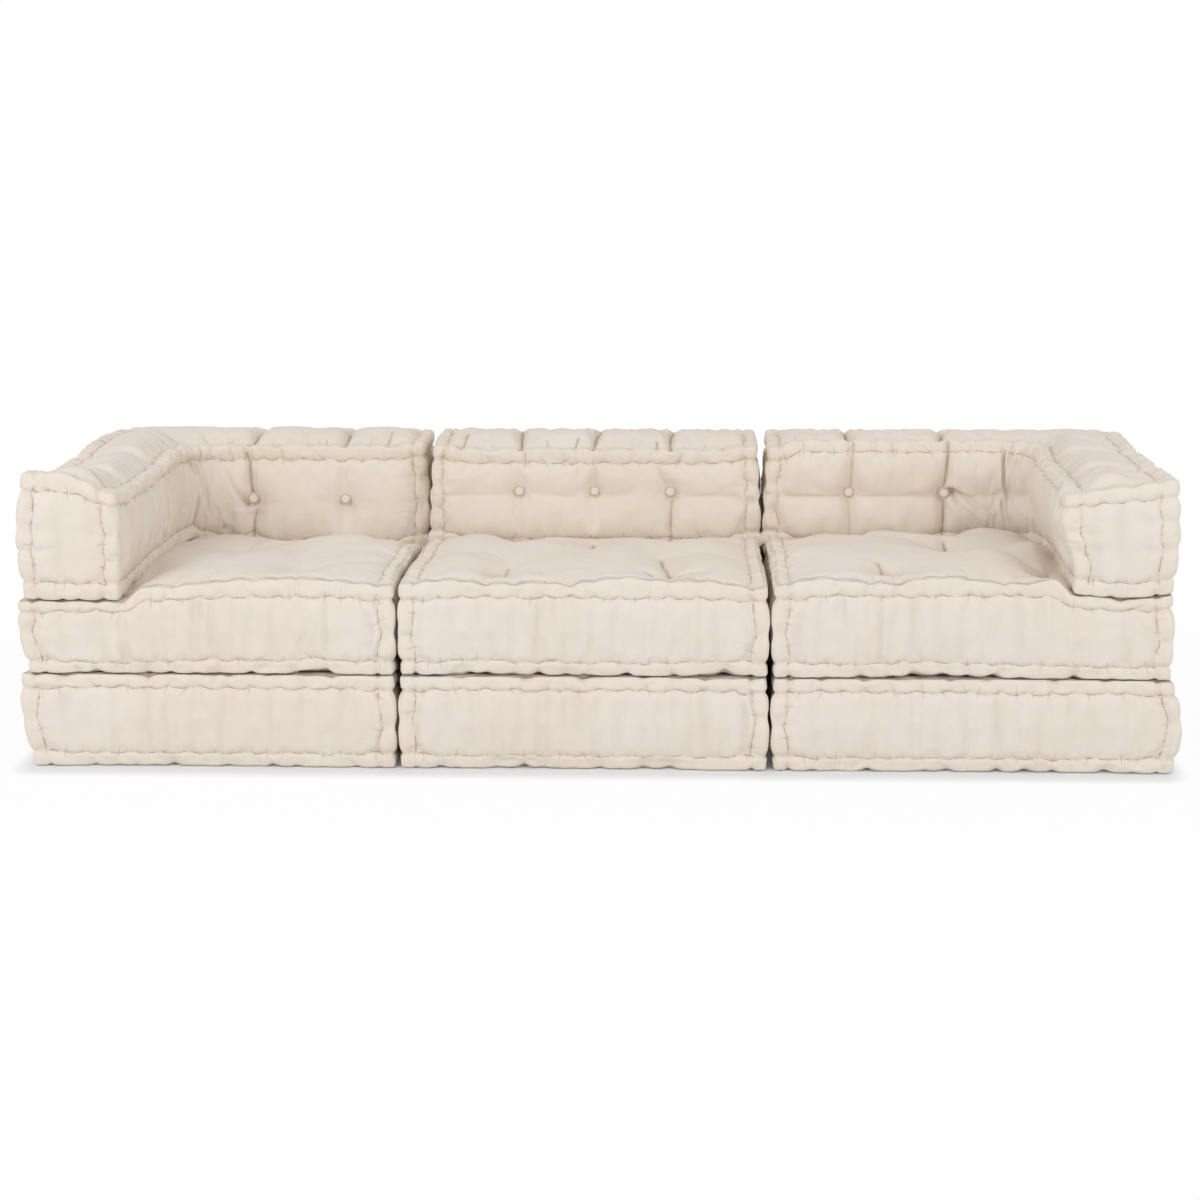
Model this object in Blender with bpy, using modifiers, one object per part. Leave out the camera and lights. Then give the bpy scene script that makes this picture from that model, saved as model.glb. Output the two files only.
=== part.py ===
"""A modular sofa of three loose modules, each a stack of mattress cushions with rolled edges.

A module is a base mattress, a seat mattress and a bolster. The centre bolster is a straight bar.
A corner bolster is an L, back and arm in one, and the right corner module is the left one turned
a quarter. Metres, +Z up, front towards -Y, origin on the floor under the middle of the sofa.
"""
import math

import bmesh
import bpy
from mathutils import Vector

# Footprints of the modules
CENTRE_WIDTH = 0.70
CENTRE_DEPTH = 0.70
CORNER_SHORT_SIDE = 0.70
CORNER_LONG_SIDE = 0.75
MODULE_GAP = 0.008

# The stack of cushions
BASE_HEIGHT = 0.175
SEAT_HEIGHT = 0.175
BOLSTER_HEIGHT = 0.20
BOLSTER_DEPTH = 0.18
INSIDE_CORNER_RADIUS = 0.10
REST_GAP = 0.0003

# Rolled edge: seen from the edge inwards, a round corner, a crest and a sunk seam
ROLL_WIDTH = 0.030
ROLL_CREST = 0.012
ROLL_ROUNDING = 0.006
SEAM_DEPTH = 0.009
SEAM_FADE = 0.025

# Swell of the panels between the rolls
SIDE_DRAW = 0.005
SEAT_CROWN = 0.024
CROWN_RUN = 0.11
PILLOW_RISE = 0.012
FRONT_BULGE = 0.010
PILLOW_RUN = 0.045

# Tufts: five in a seat, in a quincunx about its middle, seen from the sofa's front
TUFT_SPREAD_ACROSS = 0.16
TUFT_SPREAD_DEEP = 0.26
TUFT_DEPTH = 0.012
TUFT_SOFTNESS = 0.050
TUFT_SINK = 0.003

# Buttons and pinches of a bolster, counted from its middle or from its open end
CENTRE_BUTTON_SPACING = 0.16
CORNER_FIRST_BUTTON = 0.18
CORNER_BUTTON_SPACING = 0.20
BUTTON_RADIUS = 0.0115
BUTTON_THICKNESS = 0.009
BUTTON_RIM_HEIGHT = 0.003
BUTTON_BACK_RADIUS = 0.010
BUTTON_POCKET_CLEARANCE = 0.002
BUTTON_LEVEL = 0.100
LEFT_BUTTON_LEVEL = 0.074
PINCH_OFFSET = 0.014

# Ties of twine with a knot at the end
TIE_RADIUS = 0.002
TIE_CLEARANCE = 0.0005
KNOT_RADIUS = 0.005
KNOT_HEIGHT = 0.006
KNOT_CLEARANCE = 0.0015
POCKET_MARGIN = 0.002
SOCKET_DEPTH = 0.004

# Inside of a cushion: the cover's wadded wall, and the slit that its filling goes in by
WALL = 0.028
CORE_CLEARANCE = 0.0004
SLIT_LENGTH = 0.30
SLIT_HEIGHT = 0.0015
SLIT_RISE = 0.020

# Fineness of the meshes
MIN_LINE_GAP = 0.006
MAX_LINE_GAP = 0.10
CORNER_STEPS = 4
TIE_SIDES = 6
BUTTON_SIDES = 14
DOME_STEPS = 3
FACET_TURN = math.radians(13)
MERGE_DISTANCE = 0.00001
SMOOTH_ANGLE = math.radians(50)

# Colours and roughness
TICKING = ("cotton_ticking", (0.80, 0.73, 0.64), 0.92)
FILLING = ("cotton_filling", (0.86, 0.83, 0.77), 0.95)
TWINE = ("linen_twine", (0.66, 0.58, 0.47), 0.85)
BUTTON_CLOTH = ("button_cloth", (0.78, 0.70, 0.60), 0.90)

POCKET_DEPTH = KNOT_HEIGHT + POCKET_MARGIN
KNOT_BORE = KNOT_RADIUS + KNOT_CLEARANCE
TUFT_FLOOR = TUFT_DEPTH + TUFT_SINK
TOTAL_WIDTH = CORNER_SHORT_SIDE + CENTRE_WIDTH + CORNER_LONG_SIDE + 2 * MODULE_GAP
FRONT = -max(CORNER_LONG_SIDE, CORNER_SHORT_SIDE, CENTRE_DEPTH) / 2
SEAT_LEVEL = BASE_HEIGHT + REST_GAP
BOLSTER_LEVEL = SEAT_LEVEL + SEAT_HEIGHT + REST_GAP


def new_collection(name):
    """A collection linked to the scene."""
    collection = bpy.data.collections.new(name)
    bpy.context.scene.collection.children.link(collection)
    return collection


def finish(name, colour, roughness):
    """A Principled material, made once for each finish."""
    material = bpy.data.materials.get(name)
    if material is None:
        material = bpy.data.materials.new(name)
        material.use_nodes = True
        shader = material.node_tree.nodes["Principled BSDF"]
        shader.inputs["Base Color"].default_value = (*colour, 1.0)
        shader.inputs["Roughness"].default_value = roughness
        shader.inputs["Metallic"].default_value = 0.0
    return material


def add_part(name, bm, parent, looks):
    """A sofa piece from a bmesh, under its cushion's empty."""
    mesh = bpy.data.meshes.new(name)
    bm.to_mesh(mesh)
    bm.free()
    mesh.shade_smooth()
    mesh.set_sharp_from_angle(angle=SMOOTH_ANGLE)
    mesh.materials.append(finish(*looks))
    part = bpy.data.objects.new(name, mesh)
    part.parent = parent
    sofa.objects.link(part)
    return part


def add_cutter(name, bm, parent):
    """A hidden shape that is taken out of the sofa's pieces."""
    mesh = bpy.data.meshes.new(name)
    bm.to_mesh(mesh)
    bm.free()
    cutter = bpy.data.objects.new(name, mesh)
    cutter.parent = parent
    cutter.hide_render = True
    cutter.display_type = "WIRE"
    cutters.objects.link(cutter)
    return cutter


def cut(part, cutter):
    """Take a cutter out of a piece."""
    boolean = part.modifiers.new(cutter.name, "BOOLEAN")
    boolean.operation = "DIFFERENCE"
    boolean.object = cutter


def profile_mesh(points):
    """A turned piece's half outline, of radius and height, from its top down its outer side.

    It starts a little off the X axis, so that no corner of a turned piece lies on a cushion's line.
    """
    bm = bmesh.new()
    across = Vector((math.cos(FACET_TURN), math.sin(FACET_TURN), 0))
    corners = [bm.verts.new(radius * across + Vector((0, 0, height))) for radius, height in points]
    for upper, lower in zip(corners, corners[1:]):
        bm.edges.new((upper, lower))
    return bm


def turn(piece, sides):
    """Sweep a half outline round its own Z axis."""
    screw = piece.modifiers.new("turn", "SCREW")
    screw.steps = sides
    screw.render_steps = sides
    screw.use_merge_vertices = True
    screw.merge_threshold = MERGE_DISTANCE


def aim(piece, place, direction):
    """Put a turned piece at a place, with its top towards a direction."""
    piece.location = place
    piece.rotation_euler = Vector(direction).to_track_quat("Z", "Y").to_euler()


def box(low, high):
    """A bmesh box between two corners."""
    bm = bmesh.new()
    bmesh.ops.create_cube(bm, size=1.0)
    size = Vector(high) - Vector(low)
    middle = (Vector(high) + Vector(low)) / 2
    bmesh.ops.scale(bm, vec=size, verts=bm.verts)
    bmesh.ops.translate(bm, vec=middle, verts=bm.verts)
    return bm


def cut_lines(length, fixed, wished):
    """Where a cushion's faces are divided along one edge.

    Both rolls and the fixed lines are always there. A wished line joins them where there is room,
    and a wide space is halved.
    """
    lines = [ROLL_CREST, ROLL_WIDTH, length - ROLL_WIDTH, length - ROLL_CREST, *fixed]
    for line in wished:
        if min(abs(line - other) for other in lines) > MIN_LINE_GAP:
            lines.append(line)
    lines.sort()
    halves = [(a + b) / 2 for a, b in zip(lines, lines[1:]) if b - a > MAX_LINE_GAP]
    return sorted(lines + halves)


def divided_box(size, lines):
    """A box from the origin to a size, divided at the lines along X, Y and Z."""
    bm = box((0, 0, 0), size)
    for axis, places in enumerate(lines):
        for place in places:
            point = Vector((0, 0, 0))
            normal = Vector((0, 0, 0))
            point[axis] = place
            normal[axis] = 1
            geometry = bm.verts[:] + bm.edges[:] + bm.faces[:]
            bmesh.ops.bisect_plane(bm, geom=geometry, plane_co=point, plane_no=normal)
    return bm


def smooth_step(value):
    """A soft rise from 0 to 1."""
    value = min(max(value, 0.0), 1.0)
    return value * value * (3 - 2 * value)


def edge_depth(distance):
    """How far a face is sunk at a distance from its edge: corner, crest, seam and panel."""
    if distance < ROLL_CREST:
        return ROLL_ROUNDING * (1 - distance / ROLL_CREST)
    if distance < ROLL_WIDTH:
        return SEAM_DEPTH * (distance - ROLL_CREST) / (ROLL_WIDTH - ROLL_CREST)
    return SEAM_DEPTH * max(0.0, 1 - (distance - ROLL_WIDTH) / SEAM_FADE)


def roll_edges(bm, size, swell):
    """Round a divided box's edges into stitched rolls, and swell its panels.

    Each vertex moves in from every face that it lies on. swell(axis, high, corner) gives how far a
    panel stands out, for the face at the low or high end of an axis.
    """
    moves = []
    for vertex in bm.verts:
        corner = vertex.co.copy()
        low = [corner[axis] for axis in range(3)]
        high = [size[axis] - corner[axis] for axis in range(3)]
        move = Vector((0, 0, 0))
        for axis in range(3):
            others = [min(low[other], high[other]) for other in range(3) if other != axis]
            for end, distance in ((-1, low[axis]), (1, high[axis])):
                if distance < MERGE_DISTANCE:
                    depth = edge_depth(max(0.0, min(others)))
                    move[axis] += end * (swell(axis, end > 0, corner) - depth)
        moves.append(move)
    for vertex, move in zip(bm.verts, moves):
        vertex.co += move


def draw_in_sides(bm, size):
    """Pull a mattress's sides in between its corners, most at the middle of a side."""
    for vertex in bm.verts:
        across = 2 * vertex.co.x / size.x - 1
        along = 2 * vertex.co.y / size.y - 1
        vertex.co.x -= SIDE_DRAW * across * (1 - along * along)
        vertex.co.y -= SIDE_DRAW * along * (1 - across * across)


def turned_tie(name, parent, top_floor, bottom_floor, has_button):
    """Twine from one pocket floor to another, knotted below, and above unless a button is there."""
    bottom = bottom_floor - REST_GAP
    if has_button:
        head = [(0.0, top_floor + SOCKET_DEPTH), (TIE_RADIUS, top_floor + SOCKET_DEPTH)]
    else:
        knot = top_floor + REST_GAP
        head = [
            (0.0, knot + KNOT_HEIGHT),
            (KNOT_RADIUS, knot + KNOT_HEIGHT / 2),
            (TIE_RADIUS, knot),
        ]
    tail = [
        (TIE_RADIUS, bottom),
        (KNOT_RADIUS, bottom - KNOT_HEIGHT / 2),
        (0.0, bottom - KNOT_HEIGHT),
    ]
    tie = add_part(name, profile_mesh(head + tail), parent, TWINE)
    turn(tie, TIE_SIDES)
    return tie


def tie_cutter(name, parent, top, top_floor, top_bore, bottom_floor, bottom):
    """The way of a tie through a cushion, with a pocket at each end."""
    hole = TIE_RADIUS + TIE_CLEARANCE
    outline = [
        (0.0, top),
        (top_bore, top),
        (top_bore, top_floor),
        (hole, top_floor),
        (hole, bottom_floor),
        (KNOT_BORE, bottom_floor),
        (KNOT_BORE, bottom),
        (0.0, bottom),
    ]
    cutter = add_cutter(name, profile_mesh(outline), parent)
    turn(cutter, TIE_SIDES)
    return cutter


def add_button(name, parent, floor):
    """A domed button covered in cloth, with a socket in its back for the end of its tie."""
    back = floor + REST_GAP
    socket_floor = floor + SOCKET_DEPTH + REST_GAP
    socket = TIE_RADIUS + TIE_CLEARANCE
    dome_height = BUTTON_THICKNESS - BUTTON_RIM_HEIGHT
    dome = []
    for step in range(DOME_STEPS + 1):
        angle = math.pi / 2 * step / DOME_STEPS
        height = back + BUTTON_RIM_HEIGHT + dome_height * math.cos(angle)
        dome.append((BUTTON_RADIUS * math.sin(angle), height))
    underside = [
        (BUTTON_BACK_RADIUS, back),
        (socket, back),
        (socket, socket_floor),
        (0.0, socket_floor),
    ]
    button = add_part(name, profile_mesh(dome + underside), parent, BUTTON_CLOTH)
    turn(button, BUTTON_SIDES)
    return button


def stitch_tie(cushion, place, direction, thickness, name, button=None):
    """Run a tie through a cushion's cover and core, and button it where a button is named.

    place is the middle of the tie, direction points to its upper end, and thickness is the
    cushion's size along it.
    """
    half = thickness / 2
    top_floor = half - TUFT_FLOOR
    bottom_floor = POCKET_DEPTH - half
    top_bore = BUTTON_RADIUS + BUTTON_POCKET_CLEARANCE if button else KNOT_BORE
    empty = cushion["empty"]
    way = tie_cutter(name + "_way", empty, thickness, top_floor, top_bore, bottom_floor, -thickness)
    tie = turned_tie(name, empty, top_floor, bottom_floor, bool(button))
    pieces = [way, tie]
    if button:
        pieces.append(add_button(button, empty, top_floor))
    for piece in pieces:
        aim(piece, place, direction)
    cut(cushion["cover"], way)
    cut(cushion["core"], way)


def hollow_out(cushion, name, cavity, slit_low, slit_high):
    """Take the filling's room out of a cover, and the closing slit that leads to it."""
    cut(cushion["cover"], add_cutter(name + "_cavity", cavity, cushion["empty"]))
    slit = add_cutter(name + "_slit", box(slit_low, slit_high), cushion["empty"])
    cut(cushion["cover"], slit)


def add_empty(name, parent, place):
    """A place that the pieces of one cushion hang from."""
    empty = bpy.data.objects.new(name, None)
    empty.parent = parent
    empty.location = place
    sofa.objects.link(empty)
    return empty


def make_mattress(name, parent, size, swell, fixed, wished):
    """A mattress with its cover, its room and its core, its underside's middle at its empty."""
    lines = [cut_lines(size[axis], fixed[axis], wished[axis]) for axis in range(3)]
    bm = divided_box(size, lines)
    roll_edges(bm, size, swell)
    draw_in_sides(bm, size)
    middle = Vector((size.x / 2, size.y / 2, 0))
    bmesh.ops.translate(bm, vec=-middle, verts=bm.verts)
    low = Vector((WALL, WALL, WALL)) - middle
    high = size - Vector((WALL, WALL, WALL)) - middle
    spare = Vector((CORE_CLEARANCE, CORE_CLEARANCE, CORE_CLEARANCE))
    cushion = {
        "empty": parent,
        "cover": add_part(name + "_cover", bm, parent, TICKING),
        "core": add_part(name + "_core", box(low + spare, high - spare), parent, FILLING),
    }
    slit_low = Vector((-SLIT_LENGTH / 2, high.y - WALL, low.z + SLIT_RISE))
    slit_high = Vector((SLIT_LENGTH / 2, size.y, low.z + SLIT_RISE + SLIT_HEIGHT))
    hollow_out(cushion, name, box(low, high), slit_low, slit_high)
    return cushion


def no_swell(axis, high, corner):
    """A panel that stays level with its rolls."""
    return 0.0


def make_base(name, parent, width, depth):
    """A base mattress: flat above and below, because it lies between the floor and a seat."""
    size = Vector((width, depth, BASE_HEIGHT))
    middles = [[width / 2], [depth / 2], [BASE_HEIGHT / 2]]
    make_mattress(name, parent, size, no_swell, [[], [], []], middles)


def make_seat(name, parent, width, depth, has_arm, spread):
    """A seat mattress: crowned where people sit, flat under its bolster, tufted with five ties.

    spread is how far the outer tufts are from the middle, along the width and along the depth.
    """
    size = Vector((width, depth, SEAT_HEIGHT))
    middle = Vector((width / 2, depth / 2, 0))
    pattern = [(-1, -1), (1, -1), (0, 0), (-1, 1), (1, 1)]
    tufts = [Vector((x * spread[0], y * spread[1], 0)) for x, y in pattern]
    back_line = depth - BOLSTER_DEPTH
    arm_line = BOLSTER_DEPTH if has_arm else 0.0

    def crown(axis, high, corner):
        if axis != 2 or not high:
            return 0.0
        arm_side = corner.x - (arm_line if has_arm else ROLL_WIDTH)
        edges = (
            arm_side,
            width - ROLL_WIDTH - corner.x,
            corner.y - ROLL_WIDTH,
            back_line - corner.y,
        )
        rise = SEAT_CROWN
        for edge in edges:
            rise *= smooth_step(edge / CROWN_RUN)
        near = min((corner - middle - tuft).to_2d().length for tuft in tufts)
        pull = math.exp(-((near / TUFT_SOFTNESS) ** 2))
        inside = min(corner.x, width - corner.x, corner.y, depth - corner.y) > ROLL_WIDTH
        return rise - (rise + TUFT_DEPTH) * pull * inside

    fixed = [[arm_line] if has_arm else [], [back_line], []]
    wished = [
        [width / 2 + shift * spread[0] for shift in (-1, 0, 1)],
        [depth / 2 + shift * spread[1] for shift in (-1, 0, 1)],
        [SEAT_HEIGHT / 2],
    ]
    cushion = make_mattress(name, parent, size, crown, fixed, wished)
    for number, tuft in enumerate(tufts, start=1):
        place = tuft + Vector((0, 0, SEAT_HEIGHT / 2))
        stitch_tie(cushion, place, (0, 0, 1), SEAT_HEIGHT, f"{name}_tufting_tie_{number}")


def rolled_bar(length, pinches, buttons, button_level, fixed):
    """A bolster as a straight bar: X along it from an open end, Y from front to rear, Z up.

    The bar is pinched across at each of the pinches, and drawn in to a button at each of the
    buttons, at their level. Its top and front swell into pillows in between.
    """
    size = Vector((length, BOLSTER_DEPTH, BOLSTER_HEIGHT))
    half_depth = BOLSTER_DEPTH / 2
    half_height = BOLSTER_HEIGHT / 2

    def pillow(axis, high, corner):
        if axis == 0 or (axis == 2 and not high):
            return 0.0
        nearest = min(abs(corner.x - pinch) for pinch in pinches)
        ends = min(corner.x, length - corner.x) - ROLL_WIDTH
        rise = smooth_step(min(nearest, ends) / PILLOW_RUN)
        button = min((abs(corner.x - mark) for mark in buttons), default=length)
        if axis == 2:
            across = corner.y - half_depth
            span = half_depth - ROLL_WIDTH
            pull = math.exp(-((math.hypot(nearest, across) / TUFT_SOFTNESS) ** 2))
            height = PILLOW_RISE * rise
        else:
            across = corner.z - half_height
            span = half_height - ROLL_WIDTH
            away = math.hypot(button, corner.z - button_level)
            pull = math.exp(-((away / TUFT_SOFTNESS) ** 2))
            height = 0.0 if high else FRONT_BULGE * rise
        share = max(0.0, 1 - (across / span) ** 2)
        return height * share - TUFT_DEPTH * pull * (share > 0)

    lines = [
        cut_lines(length, fixed, pinches),
        cut_lines(BOLSTER_DEPTH, [], [half_depth]),
        cut_lines(BOLSTER_HEIGHT, [], [button_level]),
    ]
    bm = divided_box(size, lines)
    roll_edges(bm, size, pillow)
    return bm


def make_straight_bolster(name, parent):
    """The centre back: one straight bar with three buttons."""
    shifts = [step * CENTRE_BUTTON_SPACING for step in (-1, 0, 1)]
    marks = [CENTRE_WIDTH / 2 + shift for shift in shifts]
    bm = rolled_bar(CENTRE_WIDTH, marks, marks, BUTTON_LEVEL, [])
    middle = Vector((CENTRE_WIDTH / 2, BOLSTER_DEPTH / 2, 0))
    bmesh.ops.translate(bm, vec=-middle, verts=bm.verts)
    low = Vector((WALL, WALL, WALL)) - middle
    high = Vector((CENTRE_WIDTH - WALL, BOLSTER_DEPTH - WALL, BOLSTER_HEIGHT - WALL)) - middle
    spare = Vector((CORE_CLEARANCE, CORE_CLEARANCE, CORE_CLEARANCE))
    cushion = {
        "empty": parent,
        "cover": add_part(name + "_cover", bm, parent, TICKING),
        "core": add_part(name + "_core", box(low + spare, high - spare), parent, FILLING),
    }
    slit_low = Vector((-SLIT_LENGTH / 2, high.y - WALL, low.z + SLIT_RISE))
    slit_high = Vector((SLIT_LENGTH / 2, BOLSTER_DEPTH, low.z + SLIT_RISE + SLIT_HEIGHT))
    hollow_out(cushion, name, box(low, high), slit_low, slit_high)
    for number, shift in enumerate(shifts, start=1):
        button_place = Vector((shift, 0, BUTTON_LEVEL))
        pinch_place = Vector((shift + PINCH_OFFSET, 0, BOLSTER_HEIGHT / 2))
        tie_name = f"{name}_button_tie_{number}"
        button_name = f"{name}_button_{number}"
        stitch_tie(cushion, button_place, (0, -1, 0), BOLSTER_DEPTH, tie_name, button_name)
        stitch_tie(cushion, pinch_place, (0, 0, 1), BOLSTER_HEIGHT, f"{name}_pinch_tie_{number}")


def bend_round_corner(bm, side_length):
    """Lay a straight bar along an L: up the side leg, round the corner and along the rear leg.

    The front of the bar follows the rounded inside of the L, and its rear the square outside.
    The L's outside corner of the side leg's open end is at the origin.
    """
    reach = BOLSTER_DEPTH + INSIDE_CORNER_RADIUS
    side_run = side_length - reach
    corner_run = corner_length()
    for vertex in bm.verts:
        along = vertex.co.x
        turn_share = min(max((along - side_run) / corner_run, 0.0), 1.0)
        angle = math.pi - turn_share * math.pi / 2
        before = min(along - side_run, 0.0)
        after = max(along - side_run - corner_run, 0.0)
        inner = Vector((
            reach + INSIDE_CORNER_RADIUS * math.cos(angle) + after,
            side_run + INSIDE_CORNER_RADIUS * math.sin(angle) + before,
            0,
        ))
        outer = Vector((
            reach * max(2 * turn_share - 1, 0.0) + after,
            side_run + reach * min(2 * turn_share, 1.0) + before,
            0,
        ))
        place = inner.lerp(outer, vertex.co.y / BOLSTER_DEPTH)
        vertex.co = Vector((place.x, place.y, vertex.co.z))


def corner_length():
    """Length of the L's rounded stretch along its middle line."""
    return (INSIDE_CORNER_RADIUS + BOLSTER_DEPTH / 2) * math.pi / 2


def angle_block(side_length, rear_length, inset):
    """An L-shaped block inside a corner bolster, kept an inset away from the bolster's faces."""
    side_end = (BOLSTER_DEPTH - inset, side_length - inset, BOLSTER_HEIGHT - inset)
    bm = box((inset, inset, inset), side_end)
    bend = Vector((0, side_length - BOLSTER_DEPTH + inset, 0))
    geometry = bm.verts[:] + bm.edges[:] + bm.faces[:]
    bmesh.ops.bisect_plane(bm, geom=geometry, plane_co=bend, plane_no=(0, 1, 0))
    inner_end = [
        face
        for face in bm.faces
        if round(face.normal.x) == 1 and face.calc_center_median().y > bend.y
    ]
    grown = bmesh.ops.extrude_face_region(bm, geom=inner_end)["geom"]
    moved = [item for item in grown if isinstance(item, bmesh.types.BMVert)]
    bmesh.ops.translate(bm, vec=(rear_length - BOLSTER_DEPTH, 0, 0), verts=moved)
    bmesh.ops.delete(bm, geom=inner_end, context="FACES")
    return bm


def make_corner_bolster(name, parent, buttons_on_side_leg, button_level):
    """A corner back: an L with two pinches in each leg, and two buttons in the leg at the rear.

    The L lies with its side leg along the long side of its module and its rear leg along the
    short side, about the middle of the module.
    """
    side_length = CORNER_LONG_SIDE
    rear_length = CORNER_SHORT_SIDE
    reach = BOLSTER_DEPTH + INSIDE_CORNER_RADIUS
    side_run = side_length - reach
    length = side_run + corner_length() + rear_length - reach
    steps = [CORNER_FIRST_BUTTON, CORNER_FIRST_BUTTON + CORNER_BUTTON_SPACING]
    side_marks = steps
    rear_marks = [length - step for step in steps]
    corner_step = corner_length() / CORNER_STEPS
    corner_lines = [side_run + step * corner_step for step in range(CORNER_STEPS + 1)]
    buttons = side_marks if buttons_on_side_leg else rear_marks
    bm = rolled_bar(length, side_marks + rear_marks, buttons, button_level, corner_lines)
    bend_round_corner(bm, side_length)
    bmesh.ops.recalc_face_normals(bm, faces=bm.faces)
    shift = Vector((-rear_length / 2, -side_length / 2, 0))
    bmesh.ops.translate(bm, vec=shift, verts=bm.verts)
    core = angle_block(side_length, rear_length, WALL + CORE_CLEARANCE)
    bmesh.ops.translate(core, vec=shift, verts=core.verts)
    cavity = angle_block(side_length, rear_length, WALL)
    bmesh.ops.translate(cavity, vec=shift, verts=cavity.verts)
    cushion = {
        "empty": parent,
        "cover": add_part(name + "_cover", bm, parent, TICKING),
        "core": add_part(name + "_core", core, parent, FILLING),
    }
    slit_low = Vector((-SLIT_LENGTH / 2, side_length / 2 - 2 * WALL, WALL + SLIT_RISE))
    slit_high = Vector((SLIT_LENGTH / 2, side_length, WALL + SLIT_RISE + SLIT_HEIGHT))
    hollow_out(cushion, name, cavity, slit_low, slit_high)
    lift = Vector((0, 0, BOLSTER_HEIGHT / 2 - button_level))
    side_line = shift.x + BOLSTER_DEPTH / 2
    rear_line = -shift.y - BOLSTER_DEPTH / 2
    for number, step in enumerate(steps, start=1):
        side_place = Vector((side_line, shift.y + step, button_level))
        rear_place = Vector((-shift.x - step, rear_line, button_level))
        side_pinch = side_place + lift + Vector((0, PINCH_OFFSET, 0))
        rear_pinch = rear_place + lift - Vector((PINCH_OFFSET, 0, 0))
        for leg, pinch in (("side", side_pinch), ("rear", rear_pinch)):
            pinch_name = f"{name}_{leg}_pinch_tie_{number}"
            stitch_tie(cushion, pinch, (0, 0, 1), BOLSTER_HEIGHT, pinch_name)
        place = side_place if buttons_on_side_leg else rear_place
        front = (1, 0, 0) if buttons_on_side_leg else (0, -1, 0)
        tie_name = f"{name}_button_tie_{number}"
        stitch_tie(cushion, place, front, BOLSTER_DEPTH, tie_name, f"{name}_button_{number}")


def make_module(name, place, turned, width, depth, is_corner):
    """A stack of base, seat and bolster, each under its own empty."""
    module = add_empty(name + "_module", None, place)
    module.rotation_euler.z = turned
    base = add_empty(name + "_base", module, (0, 0, 0))
    seat = add_empty(name + "_seat", module, (0, 0, SEAT_LEVEL))
    make_base(name + "_base", base, width, depth)
    spread = (TUFT_SPREAD_ACROSS, TUFT_SPREAD_DEEP)
    make_seat(name + "_seat", seat, width, depth, is_corner, spread[::-1] if turned else spread)
    if is_corner:
        back = add_empty(name + "_back", module, (0, 0, BOLSTER_LEVEL))
        level = BUTTON_LEVEL if turned else LEFT_BUTTON_LEVEL
        make_corner_bolster(name + "_back", back, turned != 0, level)
    else:
        back_line = depth / 2 - BOLSTER_DEPTH / 2
        back = add_empty(name + "_back", module, (0, back_line, BOLSTER_LEVEL))
        make_straight_bolster(name + "_back", back)


for old in list(bpy.data.objects):
    bpy.data.objects.remove(old, do_unlink=True)
sofa = new_collection("modular_sofa")
cutters = new_collection("cutters")

left_middle = -TOTAL_WIDTH / 2 + CORNER_SHORT_SIDE / 2
centre_middle = -TOTAL_WIDTH / 2 + CORNER_SHORT_SIDE + MODULE_GAP + CENTRE_WIDTH / 2
right_middle = TOTAL_WIDTH / 2 - CORNER_LONG_SIDE / 2
quarter_turn = -math.pi / 2

left_place = (left_middle, FRONT + CORNER_LONG_SIDE / 2, 0)
centre_place = (centre_middle, FRONT + CENTRE_DEPTH / 2, 0)
right_place = (right_middle, FRONT + CORNER_SHORT_SIDE / 2, 0)
make_module("left", left_place, 0.0, CORNER_SHORT_SIDE, CORNER_LONG_SIDE, True)
make_module("centre", centre_place, 0.0, CENTRE_WIDTH, CENTRE_DEPTH, False)
make_module("right", right_place, quarter_turn, CORNER_SHORT_SIDE, CORNER_LONG_SIDE, True)
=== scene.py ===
# %% [markdown]
# # A modular sofa of cotton mattresses
#
# Three loose modules stand side by side, and each is a stack of three hand-made cushions: a base
# mattress, a seat mattress and a bolster. Every edge is a stitched roll, the seats are tufted with
# twine, and the backs have covered buttons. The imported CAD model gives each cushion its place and
# its size, so the first step is to load it. Nothing below moves a CAD piece: each soft one is
# replaced by a sewn and stuffed one that rides on the same body.

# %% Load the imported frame
import math

import bmesh
import bpy
import numpy as np
from mathutils import Matrix, Vector


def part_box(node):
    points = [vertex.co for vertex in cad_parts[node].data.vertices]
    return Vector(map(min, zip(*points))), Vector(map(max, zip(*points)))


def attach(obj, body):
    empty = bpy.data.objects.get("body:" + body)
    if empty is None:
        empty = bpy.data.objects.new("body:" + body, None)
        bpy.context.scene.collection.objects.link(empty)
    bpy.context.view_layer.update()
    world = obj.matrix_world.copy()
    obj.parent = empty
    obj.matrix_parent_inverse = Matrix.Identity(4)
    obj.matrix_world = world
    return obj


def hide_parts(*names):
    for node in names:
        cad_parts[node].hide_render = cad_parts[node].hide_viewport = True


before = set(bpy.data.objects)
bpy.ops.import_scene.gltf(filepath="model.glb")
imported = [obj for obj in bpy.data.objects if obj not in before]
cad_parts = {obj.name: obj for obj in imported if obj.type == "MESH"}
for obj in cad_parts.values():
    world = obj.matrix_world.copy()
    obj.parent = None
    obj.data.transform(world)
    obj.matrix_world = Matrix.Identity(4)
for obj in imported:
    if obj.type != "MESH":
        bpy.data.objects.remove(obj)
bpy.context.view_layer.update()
scene = bpy.context.scene

# %% [markdown]
# ## The camera
#
# The photograph was taken from the front, a little right of the middle and about 1.2 m up. The
# verticals in it are nearly parallel, so the camera is tilted only a little, and a shift of the
# lens does the rest of the framing.

# %% Camera
CAMERA_PLACE = (0.1709, -4.3035, 1.1869)
CAMERA_TILT = math.radians(90 - 7)
CAMERA_TURN = math.radians(1.5)
CAMERA_LENS = 63.86
CAMERA_SHIFT = (-0.0267, -0.1642)

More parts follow.
